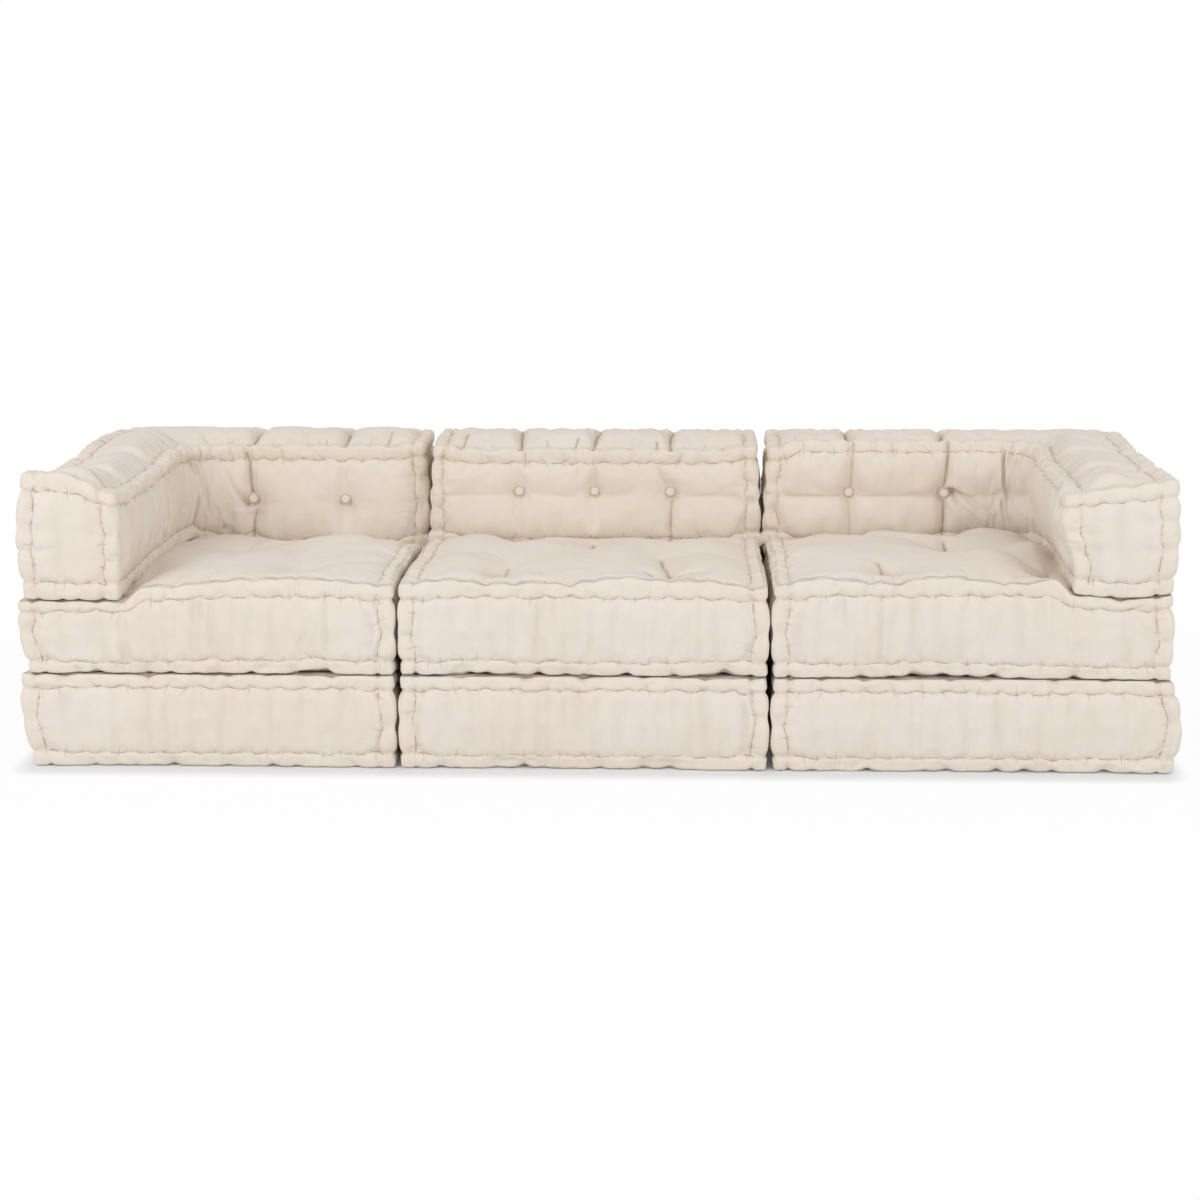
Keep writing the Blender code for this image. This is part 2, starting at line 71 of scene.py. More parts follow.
camera_data = bpy.data.cameras.new("photo_camera")
camera_data.lens = CAMERA_LENS
camera_data.shift_x, camera_data.shift_y = CAMERA_SHIFT
camera = bpy.data.objects.new("photo_camera", camera_data)
camera.location = CAMERA_PLACE
camera.rotation_euler = (CAMERA_TILT, 0, CAMERA_TURN)
scene.collection.objects.link(camera)
scene.camera = camera
print("camera at", CAMERA_PLACE, "lens", CAMERA_LENS)

# %% [markdown]
# ## Shader maths as Python
#
# A material is a graph of nodes. One small class wraps a node's output, so that sums and products
# of values are written with Python's own signs, and any other node comes from one method.


# %% A wrapped socket
class Flow:
    """One output of a node tree, for use in expressions."""

    def __init__(self, tree, socket=None):
        self.tree = tree
        self.socket = socket

    def node(self, kind, settings=None, inputs=None, output=0):
        """Add a node, set it up, feed its sockets, and give one of its outputs."""
        made = self.tree.nodes.new(kind)
        for name, value in (settings or {}).items():
            setattr(made, name, value)
        for name, value in (inputs or {}).items():
            if isinstance(value, Flow):
                self.tree.links.new(value.socket, made.inputs[name])
            else:
                made.inputs[name].default_value = value
        return Flow(self.tree, made.outputs[output])

    def also(self, output):
        """Another output of the same node."""
        return Flow(self.tree, self.socket.node.outputs[output])

    def math(self, operation, *values):
        """A Math node on values."""
        return self.node("ShaderNodeMath", {"operation": operation}, dict(enumerate(values)))

    def __add__(self, other):
        return self.math("ADD", self, other)

    __radd__ = __add__

    def __sub__(self, other):
        return self.math("SUBTRACT", self, other)

    def __rsub__(self, other):
        return self.math("SUBTRACT", other, self)

    def __mul__(self, other):
        return self.math("MULTIPLY", self, other)

    __rmul__ = __mul__

    def __pow__(self, other):
        return self.math("POWER", self, other)

    def step(self, low, high):
        """A soft rise from 0 to 1 between two values."""
        settings = {"interpolation_type": "SMOOTHSTEP"}
        inputs = {"Value": self, "From Min": low, "From Max": high}
        return self.node("ShaderNodeMapRange", settings, inputs)

    def noise(self, scale, detail=2.0):
        """A noise over this vector."""
        inputs = {"Vector": self, "Scale": scale, "Detail": detail}
        return self.node("ShaderNodeTexNoise", inputs=inputs)

    def stretched(self, x, y):
        """This vector, scaled in its first two directions."""
        return self.node("ShaderNodeMapping", inputs={"Vector": self, "Scale": (x, y, 1.0)})

    def split(self):
        """The X of this vector; its Y and Z are also there."""
        return self.node("ShaderNodeSeparateXYZ", inputs={0: self}, output="X")

    def mesh_value(self, name):
        """A value that is painted on the mesh."""
        return self.node("ShaderNodeAttribute", {"attribute_name": name}, output="Fac")

    def mix(self, one, other, share):
        """A colour, and another one by a share."""
        return self.node("ShaderNodeMix", {"data_type": "RGBA"}, {0: share, 6: one, 7: other}, 2)

    def bump(self, strength):
        """A normal that follows this height, which is in metres."""
        inputs = {"Strength": strength, "Distance": 1.0, "Height": self}
        return self.node("ShaderNodeBump", inputs=inputs)

    def to_surface(self, kind="ShaderNodeOutputMaterial"):
        """Show this shader."""
        self.tree.links.new(self.socket, self.tree.nodes.new(kind).inputs["Surface"])


def new_material(name):
    """An empty node material and its flow."""
    material = bpy.data.materials.new(name)
    material.use_nodes = True
    material.node_tree.nodes.clear()
    return material, Flow(material.node_tree)


print("shader maths ready")

# %% [markdown]
# ## The studio
#
# The sofa stands on a plain white floor in soft light. The world lights it evenly from all round,
# a large lamp on the left gives the forms their shade, and a second one fills from the right.
# To the camera the floor is partly self-lit, so that it meets the white background with no line,
# and still keeps the contact shadow.

# %% Floor
WHITE = (1.0, 1.0, 1.0, 1.0)
FLOOR_REACH = 30.0
FOOTPRINT = (1.06, 0.38)
NEAR_GLOW = 0.05
FAR_GLOW = 0.94
GLOW_GROWS = (0.010, 0.070)
GLOW_FULL = (0.2, 1.0)
FLOOR_GREYS = ((0.80, 0.82, 0.84, 1.0), (0.82, 0.835, 0.85, 1.0))
FLOOR_CLOUDS = 0.6


def new_object(name, bm):
    """An object in the scene, from a bmesh."""
    mesh = bpy.data.meshes.new(name)
    bm.to_mesh(mesh)
    bm.free()
    made = bpy.data.objects.new(name, mesh)
    scene.collection.objects.link(made)
    return made


def seen_directly(flow):
    """1 for rays that show the surface itself, from the eye or by a reflection."""
    path = flow.node("ShaderNodeLightPath", output="Is Camera Ray")
    mirrored = path.math("MAXIMUM", path, path.also("Is Glossy Ray"))
    return path.math("MAXIMUM", mirrored, path.also("Is Transmission Ray"))


floor_paint, flow = new_material("studio_floor")
spot = flow.node("ShaderNodeTexCoord", output="Object")
across = spot.split()
deep = across.also("Y")
beside = across.math("MAXIMUM", across.math("ABSOLUTE", across) - FOOTPRINT[0], 0.0)
before = across.math("MAXIMUM", across.math("ABSOLUTE", deep) - FOOTPRINT[1], 0.0)
away = (beside * beside + before * before) ** 0.5
grey = flow.mix(*FLOOR_GREYS, spot.noise(FLOOR_CLOUDS))
paint = flow.node("ShaderNodeBsdfDiffuse", inputs={"Color": grey})
glow = flow.node("ShaderNodeEmission", inputs={"Color": WHITE, "Strength": 1.0})
glowing = NEAR_GLOW + (FAR_GLOW - NEAR_GLOW) * away.step(*GLOW_GROWS)
share = seen_directly(flow) * (glowing + (1 - FAR_GLOW) * away.step(*GLOW_FULL))
shown = flow.node("ShaderNodeMixShader", inputs={0: share, 1: paint, 2: glow})
shown.to_surface()

bm = bmesh.new()
bmesh.ops.create_grid(bm, x_segments=8, y_segments=8, size=FLOOR_REACH)
floor = new_object("studio_floor", bm)
floor.data.materials.append(floor_paint)
print("floor reaches", FLOOR_REACH, "m each way")

# %% World and lamps
SKY_COLOUR = (0.97, 0.98, 1.0, 1.0)
SKY_STRENGTH = 0.72
LAMP_TARGET = Vector((0, 0, 0.3))
LAMP_SIZE = 2.8
LAMP_COLOUR = (1.0, 0.985, 0.96)
# The lamps' places and powers
LAMPS = {"key_lamp": ((-3.0, -3.4, 2.6), 64), "fill_lamp": ((3.2, -3.4, 2.4), 49)}

world = bpy.data.worlds.new("studio")
world.use_nodes = True
world.node_tree.nodes.clear()
flow = Flow(world.node_tree)
soft = flow.node("ShaderNodeBackground", inputs={"Color": SKY_COLOUR, "Strength": SKY_STRENGTH})
backdrop = flow.node("ShaderNodeBackground", inputs={"Color": WHITE, "Strength": 1.0})
sky = flow.node("ShaderNodeMixShader", inputs={0: seen_directly(flow), 1: soft, 2: backdrop})
sky.to_surface("ShaderNodeOutputWorld")
scene.world = world

for name, (place, power) in LAMPS.items():
    data = bpy.data.lights.new(name, "AREA")
    data.size = LAMP_SIZE
    data.energy = power
    data.color = LAMP_COLOUR
    lamp = bpy.data.objects.new(name, data)
    lamp.location = place
    lamp.rotation_euler = (LAMP_TARGET - Vector(place)).to_track_quat("-Z", "Y").to_euler()
    scene.collection.objects.link(lamp)
scene.view_settings.view_transform = "Standard"
print("studio ready")

# %% [markdown]
# ## Natural cotton
#
# The cover is unbleached cotton: a plain weave of about a millimetre, with thick places in the
# yarn, small flecks of seed, and patches that are warmer or paler. The weave follows the cloth by
# way of a UV map in metres. A second map tells how far a point is along its nearest edge and in
# from it, and the seams are drawn by that: a thin broken line of painted shade where the stitches
# run, short creases that cross it with painted shade in them, and pleats that fade into the panel.
# A value on the mesh paints shade into the deep creases, folds and pits.

# %% Seams of the cloth
WARM_COTTON = (0.790, 0.700, 0.600, 1.0)
PALE_COTTON = (0.815, 0.740, 0.668, 1.0)
ROLL_COTTON = (0.815, 0.722, 0.600, 1.0)
SEED_FLECK = (0.46, 0.36, 0.25, 1.0)
# The colour of painted shade in seams, creases, folds, pits and button grooves
PAINTED_SHADE_COLOUR = (0.36, 0.26, 0.16, 1.0)
YARN_PITCH = 0.0011
ROLL = 0.029
CREASES_PER_METRE = 30.0
# How dark the painted shade is: in a button's groove, on seam lines, on cross ticks, in deep creases
PAINTED_GROOVE_SHADE = 0.80
PAINTED_SEAM_SHADE = 0.75
PAINTED_TICK_SHADE = 0.45
PAINTED_CREASE_SHADE = 0.92
SEAM_WOBBLE = 0.0018
SEAM_LINE = (0.0004, 0.0015)
TICK_LINE = (0.0003, 0.0012)
DENT_REACH = 0.005
# Heights of the bumps, in metres
WEAVE_HEIGHT = 0.00010
SLUB_HEIGHT = 0.00016
CRUMPLE_HEIGHT = 0.00150
PLEAT_HEIGHT = 0.0070
FOLD_HEIGHT = 0.0150
LINE_HEIGHT = 0.0012
DENT_HEIGHT = 0.0014


def yarn_noise(flow, **inputs):
    """A noise along one value."""
    return flow.node("ShaderNodeTexNoise", {"noise_dimensions": "1D"}, inputs)


def add_seams(flow, colour, height, cloth, mottle):
    """Draw seams, cross creases and pleats into a colour and a height, with painted shade on them."""
    edge = flow.node("ShaderNodeUVMap", {"uv_map": "edge"})
    along = edge.split()
    inward = along.also("Y") - ROLL
    colour = flow.mix(colour, ROLL_COTTON, 0.3 * (1 - inward.step(-0.004, 0.002)))

    # The seam line is painted shade: a thin broken dark line where the seam pulls the cloth in.
    wobble = yarn_noise(flow, W=along, Scale=70.0) - 0.5
    gap = along.math("ABSOLUTE", inward + wobble * SEAM_WOBBLE)
    broken = yarn_noise(flow, W=along, Scale=40.0).step(0.42, 0.56)
    line = (1 - gap.step(*SEAM_LINE)) * (0.25 + 0.75 * broken)
    groove = 1 - gap.step(0.0, DENT_REACH)

    # Short creases across the seam: a dent in the height, and a dark tick of painted shade.
    lean = yarn_noise(flow, W=along, Scale=11.0) - 0.5
    leaning = {"W": along + lean * inward * 4.0, "Scale": CREASES_PER_METRE}
    cells = flow.node("ShaderNodeTexVoronoi", {"voronoi_dimensions": "1D"}, leaning)
    aside = cells * (1 / CREASES_PER_METRE)
    chance = cells.also("Color").split()
    on_roll = inward.step(-0.004 - 0.024 * chance.also("Y"), 0.0)
    on_panel = 1 - inward.step(0.002, 0.005 + 0.016 * chance.also("Z"))
    creased = on_roll * on_panel * chance.step(0.30, 0.60)
    tick = (1 - aside.step(*TICK_LINE)) * creased
    dent = (1 - aside.step(0.0, DENT_REACH)) * creased

    pleat = edge.stretched(38.0, 6.0).noise(1.0, 1.0)
    near = inward.step(-0.020, 0.0) * (1 - inward.step(0.004, 0.050))
    fold = cloth.stretched(24.0, 2.6).noise(1.0, 1.0)
    upright = flow.mesh_value("upright")
    height = height + near * pleat * PLEAT_HEIGHT + upright * fold * FOLD_HEIGHT
    height = height - groove * LINE_HEIGHT - dent * DENT_HEIGHT

    # Painted shade: the mesh's value darkens deep creases, folds and tuft pits.
    deep = flow.mesh_value("seam")
    dark = (deep ** 3.0) * (0.7 + 0.3 * mottle.step(0.35, 0.6)) * PAINTED_CREASE_SHADE
    dark = dark.math("MAXIMUM", dark, line * PAINTED_SEAM_SHADE)
    dark = dark.math("MAXIMUM", dark, tick * PAINTED_TICK_SHADE)
    return flow.mix(colour, PAINTED_SHADE_COLOUR, dark), height


print("about", round(CREASES_PER_METRE), "creases cross a metre of seam")


# %% Cotton ticking
def cotton_cloth(name, sewn):
    """Woven natural cotton with slubs, flecks and creases, and with the seams of a sewn cover."""
    material, flow = new_material(name)
    cloth = flow.node("ShaderNodeUVMap", {"uv_map": "weave"})
    place = flow.node("ShaderNodeTexCoord", output="Object")
    along = cloth.split()
    across = along.also("Y")

    patches = place.noise(4.0, 3.0)
    mottle = place.noise(38.0, 4.0)
    tone = (patches * 0.7 + mottle * 0.3).step(0.30, 0.70)
    colour = flow.mix(WARM_COTTON, PALE_COTTON, tone)

    turn = 2 * math.pi / YARN_PITCH
    warp = along.math("SINE", along * turn)
    weft = along.math("SINE", across * turn)
    weave = warp * weft * 0.5 + 0.5
    thick_weft = cloth.stretched(9.0, 420.0).noise(1.0)
    thick_warp = cloth.stretched(420.0, 9.0).noise(1.0)
    slub = thick_weft.step(0.52, 0.78) * 0.6 + thick_warp.step(0.55, 0.80) * 0.4
    colour = flow.mix(colour, PALE_COTTON, slub * 0.35)

    seeds = flow.node("ShaderNodeTexVoronoi", inputs={"Vector": cloth, "Scale": 62.0})
    fleck = (1 - seeds.step(0.02, 0.055)) * mottle.step(0.52, 0.60)
    colour = flow.mix(colour, SEED_FLECK, fleck * 0.5)

    crumple = place.noise(75.0, 5.0)
    height = weave * WEAVE_HEIGHT + slub * SLUB_HEIGHT + crumple * CRUMPLE_HEIGHT
    if sewn:
        colour, height = add_seams(flow, colour, height, cloth, mottle)
    else:
        # A button's groove is painted dark, as the shade in it.
        colour = flow.mix(colour, PAINTED_SHADE_COLOUR, flow.mesh_value("rim") * PAINTED_GROOVE_SHADE)
    rough = 0.86 + 0.10 * mottle - slub * 0.05
    shader_inputs = {"Base Color": colour, "Roughness": rough, "Normal": height.bump(0.8)}
    shader_inputs |= {"Sheen Weight": 0.10, "Sheen Roughness": 0.5, "Specular IOR Level": 0.25}
    shader = flow.node("ShaderNodeBsdfPrincipled", inputs=shader_inputs)
    shader.to_surface()
    return material


ticking = cotton_cloth("cotton_ticking", True)
print("cotton ticking has", len(ticking.node_tree.nodes), "nodes")

# %% [markdown]
# ## A cushion's grid
#
# A boxed cushion is six panels of cloth sewn along twelve edges. It starts as a cube whose edges
# are divided until each face is a fine grid, with four cells from each edge to its seam. Each vertex
# keeps its place in the flat box, and that box tells later steps where edges, seams and panels are.

# %% Divided boxes
ROLL_LINES = ROLL * np.array((0.0, 0.30, 0.58, 0.82, 1.0))
ROLL_CELLS = len(ROLL_LINES) - 1
SEAM_LINES = ROLL + np.cumsum((0.0048, 0.0060, 0.0075))
MATTRESS_STEP = 0.0090
BOLSTER_STEP = 0.0072
FINE_REACH = 0.013
MATTRESS_ROUND = (0.003, 0.010)
TINY = 1e-6


def edge_lines(*stops, step):
    """Places of the grid's lines along an edge: close at the seams, even between the stops."""
    end = np.concatenate([ROLL_LINES, SEAM_LINES])
    inner = [stops[0] + end[-1], *stops[1:-1], stops[-1] - end[-1]]
    lines = [end[:-1]]
    for start, finish in zip(inner, inner[1:]):
        count = max(2, round((finish - start) / step))
        lines.append(np.linspace(start, finish, count + 1)[:-1])
    return np.concatenate([*lines, stops[-1] - end[::-1]])


def through(lines, exact, places):
    """Move a grid line onto each exact place, and halve the cells beside all places."""
    lines, places = lines.copy(), np.array(places)
    for place in exact:
        lines[np.abs(lines - place).argmin()] = place
    middles = (lines[1:] + lines[:-1]) / 2
    close = np.abs(middles[:, None] - places).min(axis=1) < FINE_REACH
    return np.sort(np.concatenate([lines, middles[close]]))


def divided_cube(counts):
    """A unit cube from the origin, with each edge cut into a count of parts."""
    bm = bmesh.new()
    bmesh.ops.create_cube(bm, size=1.0)
    bmesh.ops.translate(bm, vec=(0.5, 0.5, 0.5), verts=bm.verts)
    for axis, count in enumerate(counts):
        whole = [e for e in bm.edges if abs(e.verts[0].co[axis] - e.verts[1].co[axis]) > 0.5]
        bmesh.ops.subdivide_edges(bm, edges=whole, cuts=count - 1, use_grid_fill=True)
    return bm


def others_of(axis):
    """The two other axes."""
    return [other for other in range(3) if other != axis]


def read_places(mesh):
    """A mesh's vertices as rows of X, Y and Z."""
    flat = np.empty(len(mesh.vertices) * 3)
    mesh.vertices.foreach_get("co", flat)
    return flat.reshape(-1, 3)


def write_places(mesh, places):
    """Move a mesh's vertices."""
    mesh.vertices.foreach_set("co", places.astype(np.float32).ravel())
    mesh.update()


print("grid of a straight bolster:", len(edge_lines(0, 0.70, step=BOLSTER_STEP)), "lines long")


# %% A cushion in the making
class Cushion:
    """A cushion in the making: its mesh, its flat box and what its threads hold."""

    def __init__(self, name, body, lines, seed):
        counts = [len(axis_lines) - 1 for axis_lines in lines]
        self.piece = new_object(name, divided_cube(counts))
        self.mesh = self.piece.data
        self.name, self.body, self.seed = name, body, seed
        self.rng = np.random.default_rng(seed)
        self.lines = lines
        self.size = np.array([axis_lines[-1] for axis_lines in lines])
        unit = read_places(self.mesh)
        self.cell = np.rint(unit * counts).astype(int)
        self.box = np.stack([lines[axis][self.cell[:, axis]] for axis in range(3)], axis=1)
        self.near = np.minimum(self.box, self.size - self.box)
        self.on = self.near < TINY
        self.out = np.where(self.box < self.size / 2, -1.0, 1.0)
        self.index = np.full([count + 1 for count in counts], -1)
        self.index[tuple(self.cell.T)] = np.arange(len(unit))
        self.place = self.box.copy()
        self.hold = np.zeros(len(unit))
        # The painted shade of each vertex, for its creases, folds and pits
        self.seam = np.zeros(len(unit))
        self.drop = np.zeros(len(unit))
        self.stitches = []
        self.turned_rolls = {}
        self.saw_edges = ()
        self.corner_round = MATTRESS_ROUND

    def face(self, axis, high):
        """The vertices of one face of the box."""
        return self.on[:, axis] & ((self.out[:, axis] > 0) == high)


print("a roll is", ROLL_CELLS, "cells wide on each side of its edge")

# %% [markdown]
# ## Rolled edges
#
# A rolled edge is a fat band: the stuffing is pushed into the corner, and stitches on both sides
# pinch it off. In section it is a rounded corner with two flat flanks that dip into the seams. Each
# vertex near an edge is laid on that section, and the panel next to it climbs back out of the seam.

# %% The section of a roll
BEAD = ROLL / 2
CORNER_RADIUS = 0.011
CORNER_SHARE = 0.0090
FLANK_START = 0.014
SEAM_DEPTH = 0.0055
SEAM_FADE = 0.008


def roll_section(distance):
    """How far a point of a face is sunk, and shifted inwards, at a distance from the edge."""
    turn = (np.clip(distance / CORNER_SHARE, 0, 1) - 1) * math.pi / 4
    flank = CORNER_RADIUS + (distance - CORNER_SHARE) * (ROLL - CORNER_RADIUS) / (ROLL - CORNER_SHARE)
    along = np.where(distance < CORNER_SHARE, CORNER_RADIUS * (1 + np.sin(turn)), flank)
    dip = np.clip((along - FLANK_START) / (ROLL - FLANK_START), 0, 1)
    in_roll = distance <= ROLL
    round_part = CORNER_RADIUS * (1 - np.cos(turn)) + SEAM_DEPTH * dip**2
    sunk = np.where(in_roll, round_part, SEAM_DEPTH * np.exp((ROLL - distance) / SEAM_FADE))
    shifted = np.where(in_roll, along - distance, 0.0)
    return sunk, shifted


def roll_edges(cushion):
    """Lay the vertices along the twelve edges on the rolls."""
    sections = [roll_section(cushion.near[:, axis]) for axis in range(3)]
    for axis in range(3):
        one, two = others_of(axis)
        first = cushion.near[:, one] <= cushion.near[:, two]
        sunk = np.where(first, sections[one][0], sections[two][0])
        shifted = sections[axis][1]
        move = np.where(cushion.on[:, axis], sunk, shifted)
        cushion.place[:, axis] -= cushion.out[:, axis] * move


print("seams lie", round(SEAM_DEPTH * 1000, 1), "mm deep")

# %% [markdown]
# ## Uneven stuffing
#
# Cotton filling is packed by hand, so no panel is quite flat and no edge quite straight. A few
# slow waves in seeded directions, added to the starting shape, give that unevenness.

# %% Slow waves
LUMP_HEIGHT = 0.0012
PANEL_RUN = 0.04


def slow_waves(points, rng, length, count=14):
    """A smooth random value between about -1 and 1 at each point, with a wavelength."""
    total = np.zeros(len(points))
    for _ in range(count):
        way = rng.normal(size=3)
        way *= 2 * math.pi / (length * rng.uniform(0.7, 1.6) * np.linalg.norm(way))
        total += np.sin(points @ way + rng.uniform(0, 2 * math.pi))
    return total / math.sqrt(count)


def smooth_step(value):
    """A soft rise from 0 to 1."""
    value = np.clip(value, 0, 1)
    return value * value * (3 - 2 * value)


def bell(distance, width):
    """1 at no distance, about a third at a width, and soon nothing."""
    return np.exp(-((distance / width) ** 2))


def corner_bell(one, one_width, two, two_width):
    """1 where both distances are none, and soon nothing away from there."""
    return np.exp(-((one / one_width) ** 2) - (two / two_width) ** 2)


def inner_share(cushion, axis, run):
    """0 on the rolls round a face, and 1 inside them."""
    return smooth_step((cushion.near[:, others_of(axis)].min(axis=1) - ROLL) / run)


def draw_in(cushion, depth):
    """Pull a mattress's sides in between its corners."""
    across, along = (2 * cushion.box[:, axis] / cushion.size[axis] - 1 for axis in (0, 1))
    cushion.place[:, 0] -= depth * across * (1 - along**2)
    cushion.place[:, 1] -= depth * along * (1 - across**2)


def lump(cushion, length):
    """Push the panels in and out a little, away from the rolls."""
    wave = slow_waves(cushion.box, cushion.rng, length) * LUMP_HEIGHT
    for axis in range(3):
        push = cushion.out[:, axis] * wave * inner_share(cushion, axis, PANEL_RUN)
        cushion.place[:, axis] += np.where(cushion.on[:, axis], push, 0.0)


print("waves ready")

# %% [markdown]
# ## Stitches, tufts and creases
#
# Thread is what shapes these cushions. A stitch every few centimetres pulls a seam in, a tuft pulls
# a panel down, and a button drags the cloth into lines. Each is a set of vertices that the cloth
# simulation later holds still, moved inwards first. Hand work is never even, so the spacing is
# drawn from a seeded generator.

# %% Stitched rolls
STITCH_SPACING = 0.048
STITCH_PULL = 0.0030
SEAM_WANDER = 0.0020
SEAM_SCALLOP = 0.0024
SAW_SPACING = 0.030
SAW_SCALLOP = 0.0075
# How dark the painted shade in a saw-tooth seam is
SAW_PAINTED_SHADE = (0.3, 0.7, 1.0)
END_PINCH = 0.010
CORNER_ROUND_RUN = 0.022
TURN_RUN = 0.05
PANEL_ROWS = 6
PANEL_FOLLOWS = 0.06
PUFF = 0.08
STITCH_SQUEEZE = 0.15
END_SQUEEZE = 0.12
UPRIGHT_BOW = (0.0032, 0.0030)
WANDER_LENGTH = 0.12
EVERYWHERE = (0.0, 9.0)
NOT_TURNED = (0.0, 0.0, 0.0, *EVERYWHERE)


def roll_rings(cushion, axis, one_high, two_high):
    """The vertices of one roll, ring by ring, with some rows of the panels on both sides of it."""
    one, two = others_of(axis)
    ends = {one: len(cushion.lines[one]) - 1, two: len(cushion.lines[two]) - 1}
    highs = {one: one_high, two: two_high}
    run = np.arange(ROLL_CELLS, len(cushion.lines[axis]) - ROLL_CELLS)

    def row(on_axis, in_axis, offset):
        cells = np.zeros((len(run), 3), int)
        cells[:, axis] = run
        cells[:, on_axis] = ends[on_axis] if highs[on_axis] else 0
        cells[:, in_axis] = ends[in_axis] - offset if highs[in_axis] else offset
        return cushion.index[tuple(cells.T)]

    widest = ROLL_CELLS + PANEL_ROWS
    rows = [row(one, two, offset) for offset in range(widest, -1, -1)]
    rows += [row(two, one, offset) for offset in range(1, widest + 1)]
    return np.stack(rows, axis=1)


def stitch_marks(cushion, reach, spacing):
    """Which rings of a roll are stitched, and how far each ring is between its two stitches."""
    number = max(2, round(reach[-1] / spacing))
    marks = reach[-1] * np.arange(number + 1) / number
    marks[1:-1] += cushion.rng.uniform(-0.25, 0.25, number - 1) * spacing
    picks = np.unique([np.abs(reach - mark).argmin() for mark in marks])
    marks = reach[picks]
    span = np.clip(np.searchsorted(marks, reach, side="right") - 1, 0, len(marks) - 2)
    between = np.sin(math.pi * (reach - marks[span]) / np.diff(marks)[span]) ** 2
    return picks, marks, span, between


def shape_roll(cushion, corner, roll, from_end, fatness):
    """Swell a roll by its fatness, and turn its section where the cushion asks for that."""
    axis = corner[0]
    one, two = others_of(axis)
    edge = roll[:, ROLL_CELLS]
    centre = cushion.box[edge].copy()
    outward = {side: cushion.out[edge, side][:, None] for side in (one, two)}
    for side in (one, two):
        centre[:, side] -= cushion.out[edge, side] * BEAD
    spoke = (cushion.place[roll] - centre[:, None]) * fatness[:, None, None]
    turn, back, up, first, last = cushion.turned_rolls.get(corner, NOT_TURNED)
    run = cushion.box[edge, axis]
    share = smooth_step(np.minimum(from_end, np.minimum(run - first, last - run)) / TURN_RUN)[:, None]
    angle = math.radians(turn) * share
    ahead, above = spoke[:, :, one] * outward[one], spoke[:, :, two] * outward[two]
    spoke[:, :, one] = (ahead * np.cos(angle) - above * np.sin(angle) - back * share) * outward[one]
    spoke[:, :, two] = (ahead * np.sin(angle) + above * np.cos(angle) + up * share) * outward[two]
    cushion.place[roll] = centre[:, None] + spoke


def pull_panels(cushion, seam, rows, in_axis, old, rounding):
    """Round the ends of a seam, and let the rows of the panel beside it follow."""
    cushion.place[seam, in_axis] -= cushion.out[seam, in_axis] * rounding
    moved = cushion.place[seam] - old
    for row in rows.T:
        gap = np.linalg.norm(cushion.box[row] - cushion.box[seam], axis=1)
        cushion.place[row] += moved * (1 - smooth_step(gap / PANEL_FOLLOWS))[:, None]


def sew_edge(cushion, axis, one_high, two_high):
    """Stitch both seams of one edge, and shape its roll between the stitches."""
    one, two = others_of(axis)
    corner = (axis, one_high, two_high)
    rng = cushion.rng
    rings = roll_rings(cushion, axis, one_high, two_high)
    roll = rings[:, PANEL_ROWS:-PANEL_ROWS]
    edge = roll[:, ROLL_CELLS]
    path = cushion.world(cushion.box[edge])
    reach = np.concatenate([[0], np.cumsum(np.linalg.norm(np.diff(path, axis=0), axis=1))])
    sawn = corner in cushion.saw_edges
    spacing, depth = (SAW_SPACING, SAW_SCALLOP) if sawn else (STITCH_SPACING, SEAM_SCALLOP)
    picks, marks, span, between = stitch_marks(cushion, reach, spacing)
    from_end = np.minimum(reach, reach[-1] - reach)
    puff = rng.uniform(0.3, 1.0, len(marks))[span] * between
    ends = bell(from_end, END_PINCH)
    fatness = 1.0 + PUFF * puff - STITCH_SQUEEZE * (1 - between) ** 3 - END_SQUEEZE * ends
    old = cushion.place[roll]
    shape_roll(cushion, corner, roll, from_end, fatness)
    if axis == 2:
        bow = np.sin(math.pi * reach / reach[-1])[:, None]
        for side in (one, two):
            outward = cushion.out[edge, side][:, None]
            cushion.place[roll, side] += outward * bow * UPRIGHT_BOW[side]
    start_round, end_round = rng.uniform(*cushion.corner_round, 2)
    rounding = np.where(reach < reach[-1] / 2, start_round, end_round)
    rounding = rounding * bell(from_end, CORNER_ROUND_RUN)
    before, after = rings[:, PANEL_ROWS - 1 :: -1], rings[:, -PANEL_ROWS:]
    pull_panels(cushion, roll[:, 0], before, two, old[:, 0], rounding)
    pull_panels(cushion, roll[:, -1], after, one, old[:, -1], rounding)
    for on_axis, in_axis, column, step in ((one, two, PANEL_ROWS, 1), (two, one, -PANEL_ROWS - 1, -1)):
        seam = rings[:, column]
        wander = SEAM_WANDER * slow_waves(path, rng, WANDER_LENGTH, 6)
        scallop = depth * between * rng.uniform(0.1, 1, len(marks))[span]
        # The top seam of a saw-tooth edge gets broken dark marks of painted shade.
        if sawn and on_axis == 2:
            dark = rng.choice(SAW_PAINTED_SHADE, len(marks))[span] * (0.6 + 0.4 * between)
            cushion.seam[seam] = np.maximum(cushion.seam[seam], dark)
        cushion.place[seam, in_axis] -= cushion.out[seam, in_axis] * (wander + scallop)
        cushion.hold[seam] = 1.0
        tied = seam[picks]
        cushion.place[tied, on_axis] -= cushion.out[tied, on_axis] * STITCH_PULL
        cushion.place[tied, in_axis] += cushion.out[tied, in_axis] * STITCH_PULL * 0.6
        roll_side, panel_side = rings[picks, column + step], rings[picks, column - step]
        cushion.stitches += list(zip(roll_side, tied, panel_side))


def sew_edges(cushion):
    """Stitch all twelve edges."""
    for axis in range(3):
        for one_high in (False, True):
            for two_high in (False, True):
                sew_edge(cushion, axis, one_high, two_high)


print("a stitch about every", round(STITCH_SPACING * 1000), "mm")

